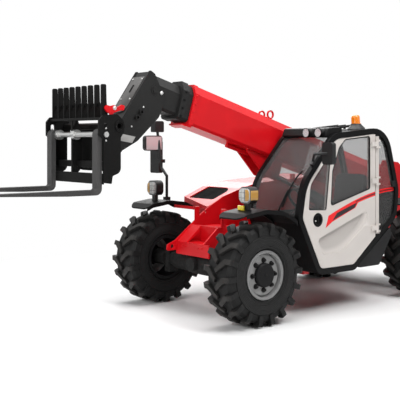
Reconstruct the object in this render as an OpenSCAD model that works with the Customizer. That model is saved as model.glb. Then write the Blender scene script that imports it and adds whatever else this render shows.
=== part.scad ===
// Compact telehandler with a three-part boom, a side cab, a side engine and pallet forks.
// Millimetres. X forward, Y left, Z up, ground at Z = 0. Bodies are drawn from the front axle
// and shifted so that the whole machine is centred on the origin.

/* [Wheels] */
// distance between the two axles
wheelbase = 2660; // [2500:10:2900]
// distance between the centre planes of the tyres
track = 1616; // [1580:4:1680]
// diameter of a tyre over its lugs
tyre_d = 1020; // [960:5:1060]
// width of a tyre
tyre_w = 384; // [340:2:400]
// diameter of the rim at its flange
rim_d = 482; // [440:2:520]
// number of lugs on each side of a tyre
tyre_lugs = 18; // [14:1:22]
// height of a lug above the tread
lug_h = 34; // [20:1:40]
// distance of a steering pin from the centre line
kingpin_y = 600; // [590:2:620]
// gap round turning and sliding parts
run_gap = 0.3; // [0.2:0.1:0.6]

/* [Boom] */
// angle of the boom above level
boom_angle = 16.7; // [10:0.1:25]
// height of the boom pivot
pivot_z = 1380; // [1340:5:1420]
// distance of the boom pivot behind the rear axle
pivot_back = 300; // [260:5:340]
// length of the outer boom in front of its pivot
outer_len = 3307; // [3200:1:3400]
// half width of the outer boom
outer_hw = 150; // [140:1:152]
// wall of the boom sections
boom_wall = 12; // [8:1:16]

/* [Carriage and forks] */
// length of the fork blades in front of the shank
fork_len = 1200; // [1000:10:1300]
// width of a fork
fork_w = 90; // [80:2:110]
// thickness of a fork
fork_t = 48; // [40:1:50]
// distance between the outer edges of the forks
fork_span = 940; // [800:10:940]
// number of bars in the load guard
guard_bars = 9; // [5:1:11]
// top of the load guard above the tilt pin
guard_top = 715; // [600:5:800]

/* [Cab] */
// right wall of the cab
cab_right = 190; // [188:1:210]
// left wall of the cab
cab_left = 950; // [930:1:960]
// width of the frame round the cab sides
frame_w = 60; // [50:1:70]
// thickness of the glass
glass_t = 8; // [5:1:10]
// gap round the door
door_gap = 6; // [5:0.5:9]
// thickness of the door
door_t = 42; // [34:1:50]

/* [Chassis] */
// thickness of the long side plates
plate_t = 20; // [14:1:24]
// underside of the frame
frame_low = 640; // [636:1:660]
// distance from the rear axle to the back of the tow jaw
rear_overhang = 660; // [640:5:700]

/* [Hidden] */
$fn = 48;

red = [0.78, 0.07, 0.09];
black = [0.09, 0.09, 0.1];
grey = [0.25, 0.25, 0.26];
steel = [0.72, 0.72, 0.72];
pale = [0.82, 0.79, 0.77];
glass = [0.35, 0.4, 0.42, 0.5];

tyre_r = tyre_d / 2;
rim_r = rim_d / 2;
barrel_r = rim_r - 15;
wheel_y = track / 2;
rear_x = -wheelbase;
pivot_x = rear_x - pivot_back;
king_h = kingpin_y - wheel_y;

// places on the lifting gear: the tilt pin from the end of the boom, the rest from the tilt pin
tilt_x = pivot_x + outer_len * cos(boom_angle) + 1032.5;
tilt_z = pivot_z + outer_len * sin(boom_angle) - 710.3;
shank_x = 354;
fork_top = -244;
fork_low = fork_top - fork_t;
tip_x = shank_x + fork_len;
shaft_x = 281;
shaft_z = 257;
carriage_hw = fork_span / 2 + 30;
guard_hw = carriage_hw - 50;
hook_x = 136;
hook_z = 335;
tilt_base = [-534, 706];
tilt_eye = [-36.5, 206.8];
tilt_dir = atan2(tilt_eye[1] - tilt_base[1], tilt_eye[0] - tilt_base[0]);
tilt_len = norm(tilt_eye - tilt_base);
lift_base = [rear_x + 110, 800];
lift_u = 1948;
lift_w = -510;
lift_eye = [pivot_x + lift_u * cos(boom_angle) - lift_w * sin(boom_angle),
    pivot_z + lift_u * sin(boom_angle) + lift_w * cos(boom_angle)];
lift_dir = atan2(lift_eye[1] - lift_base[1], lift_eye[0] - lift_base[0]);
lift_len = norm(lift_eye - lift_base);

// boom sections: half width, top, bottom, measured square to the boom from its pivot
outer_top = 70;
outer_bot = -357;
mid_hw = outer_hw - boom_wall - 8;
mid_top = outer_top - boom_wall - 8;
mid_bot = outer_bot + boom_wall + 8;
inner_hw = mid_hw - boom_wall - 8;
inner_top = mid_top - boom_wall - 26;
inner_bot = mid_bot + boom_wall + 12;
head_hw = inner_hw + 18 + run_gap;

// length along the cab and the engine, from the console to the rear wheels
function in_x(k) = -950 + k * (rear_x + 1550);
hinge_x = in_x(2 / 3);
hinge_y = cab_left + 18;
hinge_zs = [857, 1375, 1781];
cab_low = 425;
cab_feet = [for (k = [0.32, 0.886]) -776 + k * (in_x(0.3559) + 776)];
hood_in = -300;
hood_out = -950;
hood_hinges = [in_x(0.991), in_x(0.631)];
hood_hinge_z = 1400;
origin_x = -(tilt_x + tip_x + rear_x - rear_overhang) / 2;
// rounded outlines
function unit(v) = v / norm(v);
function corner(a, b, c, n) =
    let (p = [b[0], b[1]], u = unit([a[0], a[1]] - p), v = unit([c[0], c[1]] - p), h = acos(u * v) / 2)
    b[2] < 0.01 ? [p] :
    let (m = p + unit(u + v) * b[2] / sin(h), s = p + u * b[2] / tan(h) - m, e = p + v * b[2] / tan(h) - m,
        a0 = atan2(s[1], s[0]), d = (atan2(e[1], e[0]) - a0 + 540) % 360 - 180)
    [for (k = [0:n]) m + b[2] * [cos(a0 + d * k / n), sin(a0 + d * k / n)]];
function rounded(q, n = 6) = [for (i = [0:len(q) - 1])
    each corner(q[(i + len(q) - 1) % len(q)], q[i], q[(i + 1) % len(q)], n)];
function inset(q, d) = [for (i = [0:len(q) - 1])
    let (a = q[(i + len(q) - 1) % len(q)], b = q[i], c = q[(i + 1) % len(q)],
        e = unit([b[0] - a[0], b[1] - a[1]]), f = unit([c[0] - b[0], c[1] - b[1]]),
        n1 = [-e[1], e[0]], n2 = [-f[1], f[0]], s = d * (n1 + n2) / (1 + n1 * n2))
    [b[0] + s[0], b[1] + s[1], max(b[2] - d, 8)]];

module place() translate([origin_x, 0, 0]) children();
module slab(y0, y1) translate([0, y1, 0]) rotate([90, 0, 0]) linear_extrude(y1 - y0) children();
module along_x(x0, x1) translate([x0, 0, 0]) rotate([90, 0, 90]) linear_extrude(x1 - x0) children();
module box(a, b) translate(a) cube(b - a);
module rod_y(x, z, y0, y1, r) translate([x, y1, z]) rotate([90, 0, 0]) cylinder(h = y1 - y0, r = r);
module rod(p, q, r) translate(p)
    rotate([0, acos((q[2] - p[2]) / norm(q - p)), atan2(q[1] - p[1], q[0] - p[0])])
    cylinder(h = norm(q - p), r = r);
module both() for (m = [0, 1]) mirror([0, m, 0]) children();
module ring(q, a, b) difference() {
    polygon(rounded(a > 0 ? inset(q, a) : q));
    polygon(rounded(inset(q, b)));
}
module at_gear() place() translate([tilt_x, 0, tilt_z]) children();
module at_boom() translate([pivot_x, 0, pivot_z]) rotate([0, -boom_angle, 0]) children();
module section(hw, top, bot, cy, cz) polygon([[-hw, bot + 26], [-hw + 26, bot], [hw - 26, bot], [hw, bot + 26],
    [hw, top - cz], [hw - cy, top], [-hw + cy, top], [-hw, top - cz]]);
module tube_x(x0, x1, hw, top, bot, w) along_x(x0, x1) difference() {
    section(hw, top, bot, 66, 96);
    section(hw - w, top - w, bot + w, 62, 90);
}

// mudguards: height of the top at a distance in front of the axle, and the struts below them
crown = tyre_d + 128;
guard_t = 14;
function guard_z(x) = crown - (x > -20 ? (x + 20) * 33 / 240 : -(x + 20) * 30 / 230);
module strut(axle_x, y, low) translate([axle_x - 150, 0, 0]) {
    box([-30, y, low], [30, y + 16, crown - 56]);
    for (p = [[y, 3 * guard_t], [620, guard_t]]) slab(p[0], 660) polygon([[-30, crown - 90], [30, crown - 90],
        [30, guard_z(-120) - p[1] - run_gap], [-30, guard_z(-180) - p[1] - run_gap]]);
}
// frame: a tall right plate beside the engine, a low left plate beside the cab and a tower for the boom
module chassis() place() color(red) difference() {
    union() {
        slab(158, 158 + plate_t) polygon([[130, frame_low], [130, 735], [-70, 900], [rear_x + 320, 900],
            [pivot_x + 260, pivot_z + 60], [pivot_x + 170, pivot_z + 190], [pivot_x - 120, pivot_z + 160],
            [pivot_x - 250, pivot_z + 60], [pivot_x - 250, frame_low]]);
        slab(-158 - plate_t, -158) polygon([[rear_x - 20, frame_low], [rear_x + 100, 900],
            [pivot_x + 260, pivot_z + 60], [pivot_x + 170, pivot_z + 190], [pivot_x - 120, pivot_z + 160],
            [pivot_x - 250, pivot_z + 60], [pivot_x - 250, frame_low]]);
        slab(-272 - plate_t, -272) polygon(rounded([[265, frame_low, 20], [262, 702, 40], [150, 745, 20],
            [-215, 1015, 20], [-310, 1077, 10], [-528, 1190, 20], [-800, 1270, 40], [-1035, 1322, 40],
            [rear_x + 400, 1385, 40], [pivot_x + 200, 1400, 20], [pivot_x - 250, 1300, 40],
            [pivot_x - 250, frame_low, 10]]));
        box([pivot_x - 250, -272 - plate_t, frame_low], [130, 158 + plate_t, frame_low + 20]);
        box([pivot_x - 250, -272 - plate_t, frame_low], [pivot_x - 230, 158 + plate_t, 1250]);
        box([110, -292, 600], [130, 262, 735]);
        slab(-292, -110) polygon([[130, 715], [130, 735], [-70, 900], [-110, 900], [-110, 880]]);
        box([-310, -120, frame_low], [-70, 132, 900]);
        box([-90, -292, 715], [130, 158, 735]);
        for (x = [-1180, rear_x + 680]) box([x, -272, frame_low], [x + 20, 158, 740]);
        for (y = [-106, 80]) box([lift_base[0] - 70, y, frame_low], [lift_base[0] + 70, y + 26, 870]);
        rod_y(lift_base[0], lift_base[1], -116, 116, 30);
        rod_y(pivot_x, pivot_z, -182, 182, 45);
        for (x = cab_feet) {
            box([x - 45, 100, cab_low - 50], [x + 45, 178, frame_low]);
            box([x - 45, 100, cab_low - 50], [x + 45, 600, cab_low]);
        }
        for (x = [-760, rear_x + 700]) box([x - 40, -945, 565], [x + 40, -272, frame_low]);
        for (y = [-720, -460]) box([rear_x + 700, y, 600], [-760, y + 60, frame_low]);
        box([in_x(0.676), 100, 540], [in_x(0.586), 178, frame_low]);
        box([in_x(0.676), 100, 540], [in_x(0.586), 340, 600]);
        for (x = hood_hinges) {
            along_x(x - 32, x + 32) translate([hood_in, hood_hinge_z]) circle(r = 7);
            for (k = [-32, 12.5]) along_x(x + k, x + k + 19.5) {
                translate([hood_in, hood_hinge_z]) circle(r = 13);
                polygon([[hood_in, hood_hinge_z - 60], [hood_in + 20, hood_hinge_z - 60],
                    [hood_in + 13, hood_hinge_z], [hood_in, hood_hinge_z]]);
            }
        }
        strut(0, 160, 820);
        mirror([0, 1, 0]) strut(0, 274, 820);
        both() strut(rear_x, 160, 960);
    }
    rod_y(195, 682, -300, -270, 22);
    rod_y(-265, 1032, -300, -270, 14);
}

module counterweight() place() color(black) difference() {
    union() {
        slab(-330, 330) polygon(rounded([[pivot_x + 90, 410, 60], [pivot_x + 90, frame_low, 10],
            [rear_x - rear_overhang + 60, frame_low, 40], [rear_x - rear_overhang + 60, 430, 50]]));
        for (z = [470, 535]) box([rear_x - rear_overhang, -45, z], [rear_x - rear_overhang + 80, 45, z + 18]);
    }
    translate([rear_x - rear_overhang + 32, 0, 440]) cylinder(h = 140, r = 16);
}

module engine() place() color(grey) box([rear_x + 810, -760, frame_low], [-950, -360, 1130]);
module fuel_tank() place() color(black) slab(-930, -330) polygon(rounded([[-690, 420, 40], [-690, 565, 30],
    [rear_x + 670, 565, 30], [rear_x + 670, 420, 60]]));
module oil_tank() place() color(grey) slab(340, 935) polygon(rounded([[in_x(0.3919), 440, 20],
    [in_x(0.7387), 440, 50], [in_x(0.9324), 760, 30], [in_x(0.9099), 850, 20]]));
// axles with the yokes that carry the steering pins
module axle(x) place() translate([x, 0, tyre_r]) color(black) union() {
    rotate([90, 0, 0]) rotate_extrude() polygon([[0, -530], [70, -530], [78, -470], [98, -410], [104, -180],
        [118, -120], [118, 120], [104, 180], [98, 410], [78, 470], [70, 530], [0, 530]]);
    rotate([0, 90, 0]) translate([0, 0, -170]) cylinder(h = 340, r = 72);
    both() {
        box([-85, 120, 0], [85, 175, frame_low - tyre_r]);
        box([-60, 505, -148], [60, kingpin_y - 60, 148]);
        for (z = [-148, 109]) {
            box([-48, 520, z], [48, kingpin_y, z + 39]);
            translate([0, kingpin_y, z]) cylinder(h = 39, r = 48);
        }
        for (z = [-120, 70]) translate([0, kingpin_y, z]) cylinder(h = 50, r = 22);
    }
}
module front_axle() axle(0);
module rear_axle() axle(rear_x);

module at_wheel(x, m) place() mirror([0, m, 0]) translate([x, wheel_y, tyre_r]) children();
module knuckle(x, m) at_wheel(x, m) color(black) difference() {
    union() {
        translate([0, king_h, -105]) cylinder(h = 210, r = 46);
        rotate([-90, 0, 0]) translate([0, 0, king_h]) cylinder(h = -king_h - 20, r = 88);
        rotate([-90, 0, 0]) translate([0, 0, -40]) cylinder(h = 98, r = 45);
        box([-150, king_h + 10, -20], [0, king_h + 50, 20]);
    }
    translate([0, king_h, 66]) cylinder(h = 60, r = 22 + run_gap);
    translate([0, king_h, -126]) cylinder(h = 60, r = 22 + run_gap);
}
module knuckle_fl() knuckle(0, 0);
module knuckle_fr() knuckle(0, 1);
module knuckle_rl() knuckle(rear_x, 0);
module knuckle_rr() knuckle(rear_x, 1);

// wheel: a deep well with a dished disc, a hub and a flange on each side
disc_h = 136;
hub_r = 118;
module rim(x, m) at_wheel(x, m) color(steel) rotate([-90, 0, 0]) rotate_extrude() polygon([
    [0, 62], [45 + run_gap, 62], [45 + run_gap, -14], [92, -14], [92, disc_h - 24], [185, disc_h - 14],
    [barrel_r - 12, disc_h - 36], [barrel_r - 12, -170], [rim_r, -170], [rim_r, -158], [barrel_r, -158],
    [barrel_r, 158], [rim_r, 158], [rim_r, 170], [barrel_r - 12, 170], [barrel_r - 12, disc_h - 20],
    [195, disc_h], [hub_r, disc_h], [hub_r, disc_h + 30], [hub_r - 12, disc_h + 42], [0, disc_h + 42]]);
module rim_fl() rim(0, 0);
module rim_fr() rim(0, 1);
module rim_rl() rim(rear_x, 0);
module rim_rr() rim(rear_x, 1);

// tyre: a carcass with a raised ring on each side, and bent lugs that lead at the middle of the tread
tread_r = tyre_r - lug_h;
tyre_hw = tyre_w / 2;
module carcass() rotate_extrude() polygon([[barrel_r + run_gap, -157], [rim_r + 6, -157],
    [rim_r + 21, -tyre_hw + 20], [rim_r + 60, -tyre_hw + 9], [rim_r + 143, -tyre_hw + 7],
    [rim_r + 150, -tyre_hw + 16], [tread_r - 36, -tyre_hw + 26], [tread_r - 6, -tyre_hw + 57], [tread_r, 0],
    [tread_r - 6, tyre_hw - 57], [tread_r - 36, tyre_hw - 26], [rim_r + 150, tyre_hw - 16],
    [rim_r + 143, tyre_hw - 7], [rim_r + 60, tyre_hw - 9], [rim_r + 21, tyre_hw - 20], [rim_r + 6, 157],
    [barrel_r + run_gap, 157]]);
module lug_space() rotate_extrude() polygon([[tread_r - 96, -tyre_hw + 6], [tyre_r - 40, -tyre_hw],
    [tyre_r - 14, -tyre_hw + 8], [tyre_r - 2, -tyre_hw + 42], [tyre_r, 0], [tyre_r - 2, tyre_hw - 42],
    [tyre_r - 14, tyre_hw - 8], [tyre_r - 40, tyre_hw], [tread_r - 96, tyre_hw - 6]]);
module lug() translate([tread_r - 86, 0, 0]) rotate([0, 90, 0]) linear_extrude(lug_h + 100) polygon([
    [-tyre_hw - 13, -26], [-tyre_hw - 13, 26], [-tyre_hw + 64, 30], [-8, 120], [10, 84],
    [-tyre_hw + 88, -20]]);
module tyre(x, m) at_wheel(x, m) color(black) rotate([-90, 0, 0]) union() {
    carcass();
    intersection() {
        lug_space();
        for (side = [0, 1], i = [1:tyre_lugs]) rotate([0, 0, (i + side / 2) * 360 / tyre_lugs])
            mirror([0, 0, side]) lug();
    }
}
module tyre_fl() tyre(0, 0);
module tyre_fr() tyre(0, 1);
module tyre_rl() tyre(rear_x, 0);
module tyre_rr() tyre(rear_x, 1);

// mudguards, held by struts from the frame
function guard_line(d) = [[320, crown - 86 - d, 0], [220, crown - 33 - d, 80], [-20, crown - d, 250],
    [-250, crown - 30 - d, 120], [-400, crown - 103 - d, 120], [-480, crown - 175 - d, 0]];
module guard_skin(t) polygon(rounded(concat(guard_line(0), [for (i = [5:-1:0]) guard_line(t)[i]])));
module fender(back) intersection() {
    union() {
        slab(600, 985) guard_skin(guard_t);
        slab(967, 985) guard_skin(3 * guard_t);
        slab(600, 618) guard_skin(3 * guard_t);
    }
    linear_extrude(2 * crown) polygon(rounded([[302, 600, 60], [302, 985, 130], [back, 985, 50],
        [back, 600, 30]]));
}
module front_fenders() place() color(black) {
    fender(-466);
    mirror([0, 1, 0]) fender(-370);
}
module rear_fenders() place() color(black) both() translate([rear_x, 0, 0]) fender(-466);
// side engine cover that swings up on its inner edge
hood_line = [[-308, 1080, 18], [-780, 1266, 120], [-1040, 1318, 120], [rear_x + 500, 1385, 60],
    [rear_x + 130, 1350, 60], [rear_x + 130, crown + 12, 20], [rear_x + 650, crown + 12, 60],
    [rear_x + 650, frame_low + run_gap, 10], [-700, frame_low + run_gap, 10], [-700, 1055, 40],
    [-308, 1055, 8]];
mesh_slope = 22.1;
mesh_line = [[-170, -850, 30], [160, -850, 30], [160, -400, 30], [-170, -400, 140]];
module at_mesh() translate([-620, 0, 1215]) rotate([0, mesh_slope, 0]) children();
module engine_hood() place() color(red) difference() {
    union() {
        slab(hood_out, hood_in) polygon(rounded(hood_line));
        for (x = hood_hinges) along_x(x - 12, x + 12) {
            translate([hood_in, hood_hinge_z]) circle(r = 13);
            polygon([[hood_in - 40, hood_hinge_z - 60], [hood_in - 2, hood_hinge_z - 60],
                [hood_in - 2, hood_hinge_z], [hood_in - 13, hood_hinge_z]]);
        }
    }
    for (x = hood_hinges) along_x(x - 20, x + 20) translate([hood_in, hood_hinge_z]) circle(r = 7 + run_gap);
    difference() {
        slab(hood_out + 16, hood_in + 10) polygon(rounded([[-352, 1066, 3], [-362, 1074, 3], [-790, 1238, 100],
            [-1045, 1292, 100], [rear_x + 505, 1358, 40], [rear_x + 155, 1325, 40],
            [rear_x + 155, crown + 34, 10], [rear_x + 675, crown + 34, 40], [rear_x + 675, 600, 10],
            [-725, 600, 10], [-725, 1085, 20]]));
        linear_extrude(2000) polygon([[-200, hood_in + 20], [-336, hood_in + 20], [-520, hood_out - 10],
            [-200, hood_out - 10]]);
    }
    at_mesh() translate([0, 0, -46]) linear_extrude(120) polygon(rounded(mesh_line));
    linear_extrude(2000) polygon([[-200, hood_in + 10], [-308, hood_in + 10], [-492, hood_out - 10],
        [-200, hood_out - 10]]);
}
module hood_grille() place() color(black) at_mesh() translate([0, 0, -46 + run_gap])
    linear_extrude(20) difference() {
        polygon(rounded(inset(mesh_line, run_gap)));
        for (i = [0:9]) translate([-134 + i * 29, -815]) square([12, i < 5 ? 300 + i * 20 : 380]);
    }
// cab: two side hoops joined by a floor tub and a roof, with glass between
cab_line = [[-776, cab_low, 130], [-478, 1020, 150], [-545, 1385, 500], [-1010, 1895, 250],
    [in_x(0.8468), 1975, 300], [in_x(1.0315), 1270, 400], [in_x(1), 960, 200], [in_x(0.3559), cab_low, 130]];
module cab_frame() place() color(black) union() {
    slab(cab_right, cab_right + 50) ring(cab_line, 0, frame_w);
    slab(cab_left - 55, cab_left) ring(cab_line, 0, frame_w);
    slab(cab_left - 55, cab_left - 5) intersection() {
        polygon(rounded(inset(cab_line, frame_w - 2)));
        translate([hinge_x - 62, 0]) square([56, 3000]);
    }
    for (z = hinge_zs) {
        translate([hinge_x, hinge_y, z - 46]) cylinder(h = 92, r = 7);
        for (k = [-46, 26.5]) {
            translate([hinge_x, hinge_y, z + k]) cylinder(h = 19.5, r = 16);
            box([hinge_x - 50, cab_left - 8, z + k], [hinge_x, hinge_y + 8, z + k + 19.5]);
        }
    }
}
module cab_tub() place() color(black) {
    slab(cab_right + 50, cab_left - 55) intersection() {
        ring(cab_line, 4, 34);
        polygon([[0, 0], [0, 1040], [-700, 1040], [in_x(0.766), 1230], [-3000, 1230], [-3000, 0]]);
    }
    slab(cab_right + 8, cab_right + 30) intersection() {
        polygon(rounded(inset(cab_line, frame_w)));
        translate([-3000, 0]) square([3000, 1040]);
    }
}
function roof_z(x) = 1891 + (x + 1010) * 80 / (in_x(0.8468) + 1010);
visor = [[-942, 1862, 12], [-985, 1952, 30], [-1195, 1962, 20], [-1200, 1892, 0], [-1000, 1855, 0]];
roof_bars = [310, 425, 540, 655];
module cab_roof() place() color(black) union() {
    slab(cab_right + 50, cab_left - 55) intersection() {
        ring(cab_line, 4, 40);
        translate([-3000, 1850]) square([3000, 300]);
    }
    slab(cab_right + 50, cab_left - 55) polygon(rounded(visor));
    for (y = roof_bars) slab(y - 7, y + 7) let (a = -1185, b = in_x(0.7568)) polygon([[a, roof_z(a) - 8],
        [a, roof_z(a) + 42], [b, roof_z(b) + 42], [b, roof_z(b) - 8], [b + 30, roof_z(b + 30) - 8],
        [b + 30, roof_z(b + 30) + 24], [a - 30, roof_z(a - 30) + 24], [a - 30, roof_z(a - 30) - 8]]);
}
module cab_glass() place() color(glass) {
    slab(cab_right + 50, cab_left - 55) intersection() {
        ring(cab_line, 10, 10 + glass_t);
        translate([-1200, 1040]) square([1000, 810]);
    }
    slab(cab_right + 50, cab_left - 55) intersection() {
        ring(cab_line, 10, 10 + glass_t);
        translate([-3000, 1230]) square([3000 + in_x(0.8), 620]);
    }
    slab(cab_right + 12, cab_right + 12 + glass_t) intersection() {
        polygon(rounded(inset(cab_line, frame_w)));
        translate([-3000, 1040]) square([3000, 1500]);
    }
    slab(cab_left - 30, cab_left - 30 + glass_t) intersection() {
        polygon(rounded(inset(cab_line, frame_w)));
        translate([-3000, 0]) square([3000 + hinge_x - 62, 2500]);
    }
}

function pane_x(k) = -958 + k * (hinge_x + 1048);
door_cut = [[pane_x(1), 1288, 30], [pane_x(0), 1128, 30], [pane_x(0.042), 1500, 60], [pane_x(0.2056), 1750, 60],
    [pane_x(0.3614), 1836, 60], [pane_x(1), 1872, 30]];
front_cut = [[-898, 1092, 25], [-628, 1105, 25], [-660, 1370, 150], [-918, 1650, 12], [-955, 1560, 30]];
door_dish = [[-753, 794, 40], [pane_x(0.938), 1060, 30], [pane_x(0.86), 899, 90], [pane_x(0.229), 639, 120],
    [-843, 631, 60]];
module door_shape(d) intersection() {
    polygon(rounded(inset(cab_line, frame_w + d)));
    translate([hinge_x + d, 0]) square([2000, 3000]);
}
module door() place() color(pale) difference() {
    union() {
        slab(cab_left - door_t, cab_left) door_shape(door_gap);
        for (z = hinge_zs) {
            box([hinge_x, cab_left - 6, z - 26], [hinge_x + 84, hinge_y + 6, z + 26]);
            translate([hinge_x, hinge_y, z - 26]) cylinder(h = 52, r = 16);
        }
    }
    for (z = hinge_zs) translate([hinge_x, hinge_y, z - 30]) cylinder(h = 60, r = 7 + run_gap);
    slab(cab_left - 100, cab_left + 50) polygon(rounded(door_cut));
    slab(cab_left - 100, cab_left + 50) polygon(rounded(front_cut));
    translate([-768, cab_left, 999]) rotate([90, 0, 0]) cylinder(h = 36, r = 52, center = true);
    slab(cab_left - 9, cab_left + 50) polygon(rounded(door_dish));
}
module door_glass() place() color(glass) slab(cab_left - 24, cab_left - 24 + glass_t) {
    polygon(rounded(door_cut));
    polygon(rounded(front_cut));
}

module seat() place() color(black) union() {
    slab(400, 740) polygon([[in_x(0.29), 459], [in_x(0.31), 459], [in_x(0.586), 680], [in_x(0.586), 742],
        [in_x(0.29), 742]]);
    slab(340, 800) polygon(rounded([[in_x(0.252), 740, 20], [in_x(0.252), 860, 50], [in_x(0.577), 840, 40],
        [in_x(0.676), 1480, 50], [in_x(0.775), 1480, 50], [in_x(0.667), 760, 30], [in_x(0.622), 740, 10]]));
}
module controls() place() color(black) union() {
    slab(420, 720) polygon(rounded([[-740, 1020, 20], [-580, 1020, 40], [-720, 720, 20], [-870, 459, 0],
        [-950, 459, 0], [-860, 720, 20]]));
    rod([-700, 570, 960], [-930, 570, 1150], 28);
    translate([-930, 570, 1150]) rotate([0, -50, 0]) {
        cylinder(h = 30, r = 60);
        rotate_extrude() translate([180, 15]) circle(r = 15);
        for (a = [0, 120, 240]) rotate([0, 90, a]) translate([-15, 0, 0]) cylinder(h = 180, r = 10);
    }
}

lamp_line = [[700, crown + 52, 55], [872, crown + 52, 55], [872, crown + 217, 55], [700, crown + 217, 55]];
module lamps() place() color(steel) {
    both() union() {
        along_x(0, 96) polygon(rounded(lamp_line));
        along_x(90, 108) polygon(rounded(inset(lamp_line, 14)));
        slab(750, 810) polygon([[40, guard_z(40) + run_gap], [80, guard_z(80) + run_gap], [80, crown + 60],
            [40, crown + 60]]);
    }
    for (y = [640, 815]) difference() {
        translate([-1000, y, 1903]) rotate([0, 90, 0]) cylinder(h = 90, r = 46);
        slab(y - 60, y + 60) translate([run_gap, 0]) polygon(rounded(visor));
    }
    both() slab(700, 860) translate([rear_x, 0]) polygon(rounded([[-235, guard_z(-235) + run_gap, 0],
        [-155, guard_z(-155) + run_gap, 0], [-155, crown + 100, 20], [-235, crown + 100, 30]]));
}
module beacon() place() color([0.9, 0.45, 0.05]) translate([in_x(0.5441), 788, roof_z(in_x(0.5441)) + run_gap])
    rotate([0, atan(80 / -(in_x(0.8468) + 1010)), 0]) rotate_extrude() polygon(rounded([[0, 0, 0], [100, 0, 0],
        [96, 14, 4], [62, 50, 12], [56, 66, 4], [50, 66, 0], [48, 140, 4], [40, 158, 14], [0, 162, 0]]));
function pillar_x(z) = -545 - (z - 1385) * 465 / 510;
mirror_out = 1170;
module mirrors() place() color(black) {
    union() {
        along_x(-797, -742) polygon(rounded([[mirror_out - 140, 1575, 25], [mirror_out, 1575, 25],
            [mirror_out, 1800, 25], [mirror_out - 140, 1800, 25]]));
        rod([-750, mirror_out - 75, 1690], [-650, 1000, 1680], 13);
        rod([-655, 1008, 1688], [-716, 928, 1612], 13);
        slab(905, 948) polygon([[pillar_x(1650) + run_gap, 1650], [pillar_x(1560) + run_gap, 1560],
            [pillar_x(1560) + 24, 1575], [pillar_x(1650) + 24, 1665]]);
    }
    union() {
        along_x(-205, -150) polygon(rounded([[-mirror_out, 1436, 20], [-mirror_out + 175, 1436, 20],
            [-mirror_out + 175, 1812, 20], [-mirror_out, 1812, 20]]));
        slab(-1010, -950) polygon(rounded([[-168, 1700, 40], [72, 1700, 40], [72, 1876, 40],
            [-168, 1876, 40]]));
        slab(-1040, -950) polygon(rounded([[-190, 1915, 15], [-64, 1915, 15], [-64, 2045, 25],
            [-190, 2045, 25]]));
        slab(-830, -770) polygon([[-150, guard_z(-150) + run_gap], [-90, guard_z(-90) + run_gap],
            [-90, crown + 24], [-150, crown + 24]]);
        rod([-120, -800, crown + 10], [-120, -800, 1420], 16);
        rod([-120, -800, 1412], [-120, -900, 1500], 16);
        rod([-120, -900, 1490], [-120, -985, 1930], 16);
        box([-170, -mirror_out + 150, 1560], [-110, -900, 1600]);
    }
}
// boom
module boom_outer() place() at_boom() color(red) difference() {
    union() {
        difference() {
            tube_x(-100, outer_len, outer_hw, outer_top, outer_bot, boom_wall);
            slab(-400, 400) polygon([[-200, -140], [-60, -140], [330, outer_bot - 1], [-200, outer_bot - 1]]);
        }
        difference() {
            along_x(outer_len - 56, outer_len) section(outer_hw + 6, outer_top + 6, outer_bot - 22, 66, 96);
            along_x(outer_len - 60, outer_len + 4)
                section(mid_hw + run_gap, mid_top + run_gap, mid_bot - run_gap, 62, 90);
        }
        rod_y(0, 0, -outer_hw, outer_hw, 85);
        for (y = [-94, 68]) slab(y, y + 26) polygon(rounded([[1835, outer_bot + 4, 0], [1850, -540, 60],
            [1950, -575, 60], [2060, -570, 60], [2230, -470, 60], [2390, -380, 20], [2395, outer_bot + 4, 0]]));
        for (y = [-106, 92]) rod_y(lift_u, lift_w, y, y + 14, 44);
        rod([2300, 0, outer_bot - 24], [2625, 0, outer_bot - 24], 25);
        for (y = [-70, 70]) translate([2157, y, outer_top - 4]) difference() {
            translate([0, 8, 50]) rotate([90, 0, 0]) cylinder(h = 16, r = 50);
            translate([0, 20, 50]) rotate([90, 0, 0]) cylinder(h = 40, r = 34);
        }
        box([outer_len - 10, -110, outer_bot - 22], [outer_len + 50, 110, outer_bot - 6]);
    }
    rod_y(0, 0, -outer_hw - 1, outer_hw + 1, 45 + run_gap);
}
module boom_mid() place() at_boom() color(black) union() {
    difference() {
        tube_x(600, outer_len + 90, mid_hw, mid_top, mid_bot, boom_wall);
    }
    difference() {
        along_x(outer_len + 70, outer_len + 150) section(outer_hw - 4, outer_top - 8, outer_bot + 14, 66, 96);
        along_x(outer_len + 60, outer_len + 160)
            section(inner_hw + run_gap, inner_top + run_gap, inner_bot - run_gap, 62, 90);
    }
}
module boom_inner() place() at_boom() color(black) difference() {
    tube_x(800, outer_len + 580, inner_hw, inner_top, inner_bot, boom_wall);
    slab(-400, 400) polygon([[outer_len + 576, 60], [outer_len + 576, 30], [outer_len + 378, -180],
        [outer_len + 348, -400], [outer_len + 800, -400], [outer_len + 800, 60]]);
}
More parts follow.
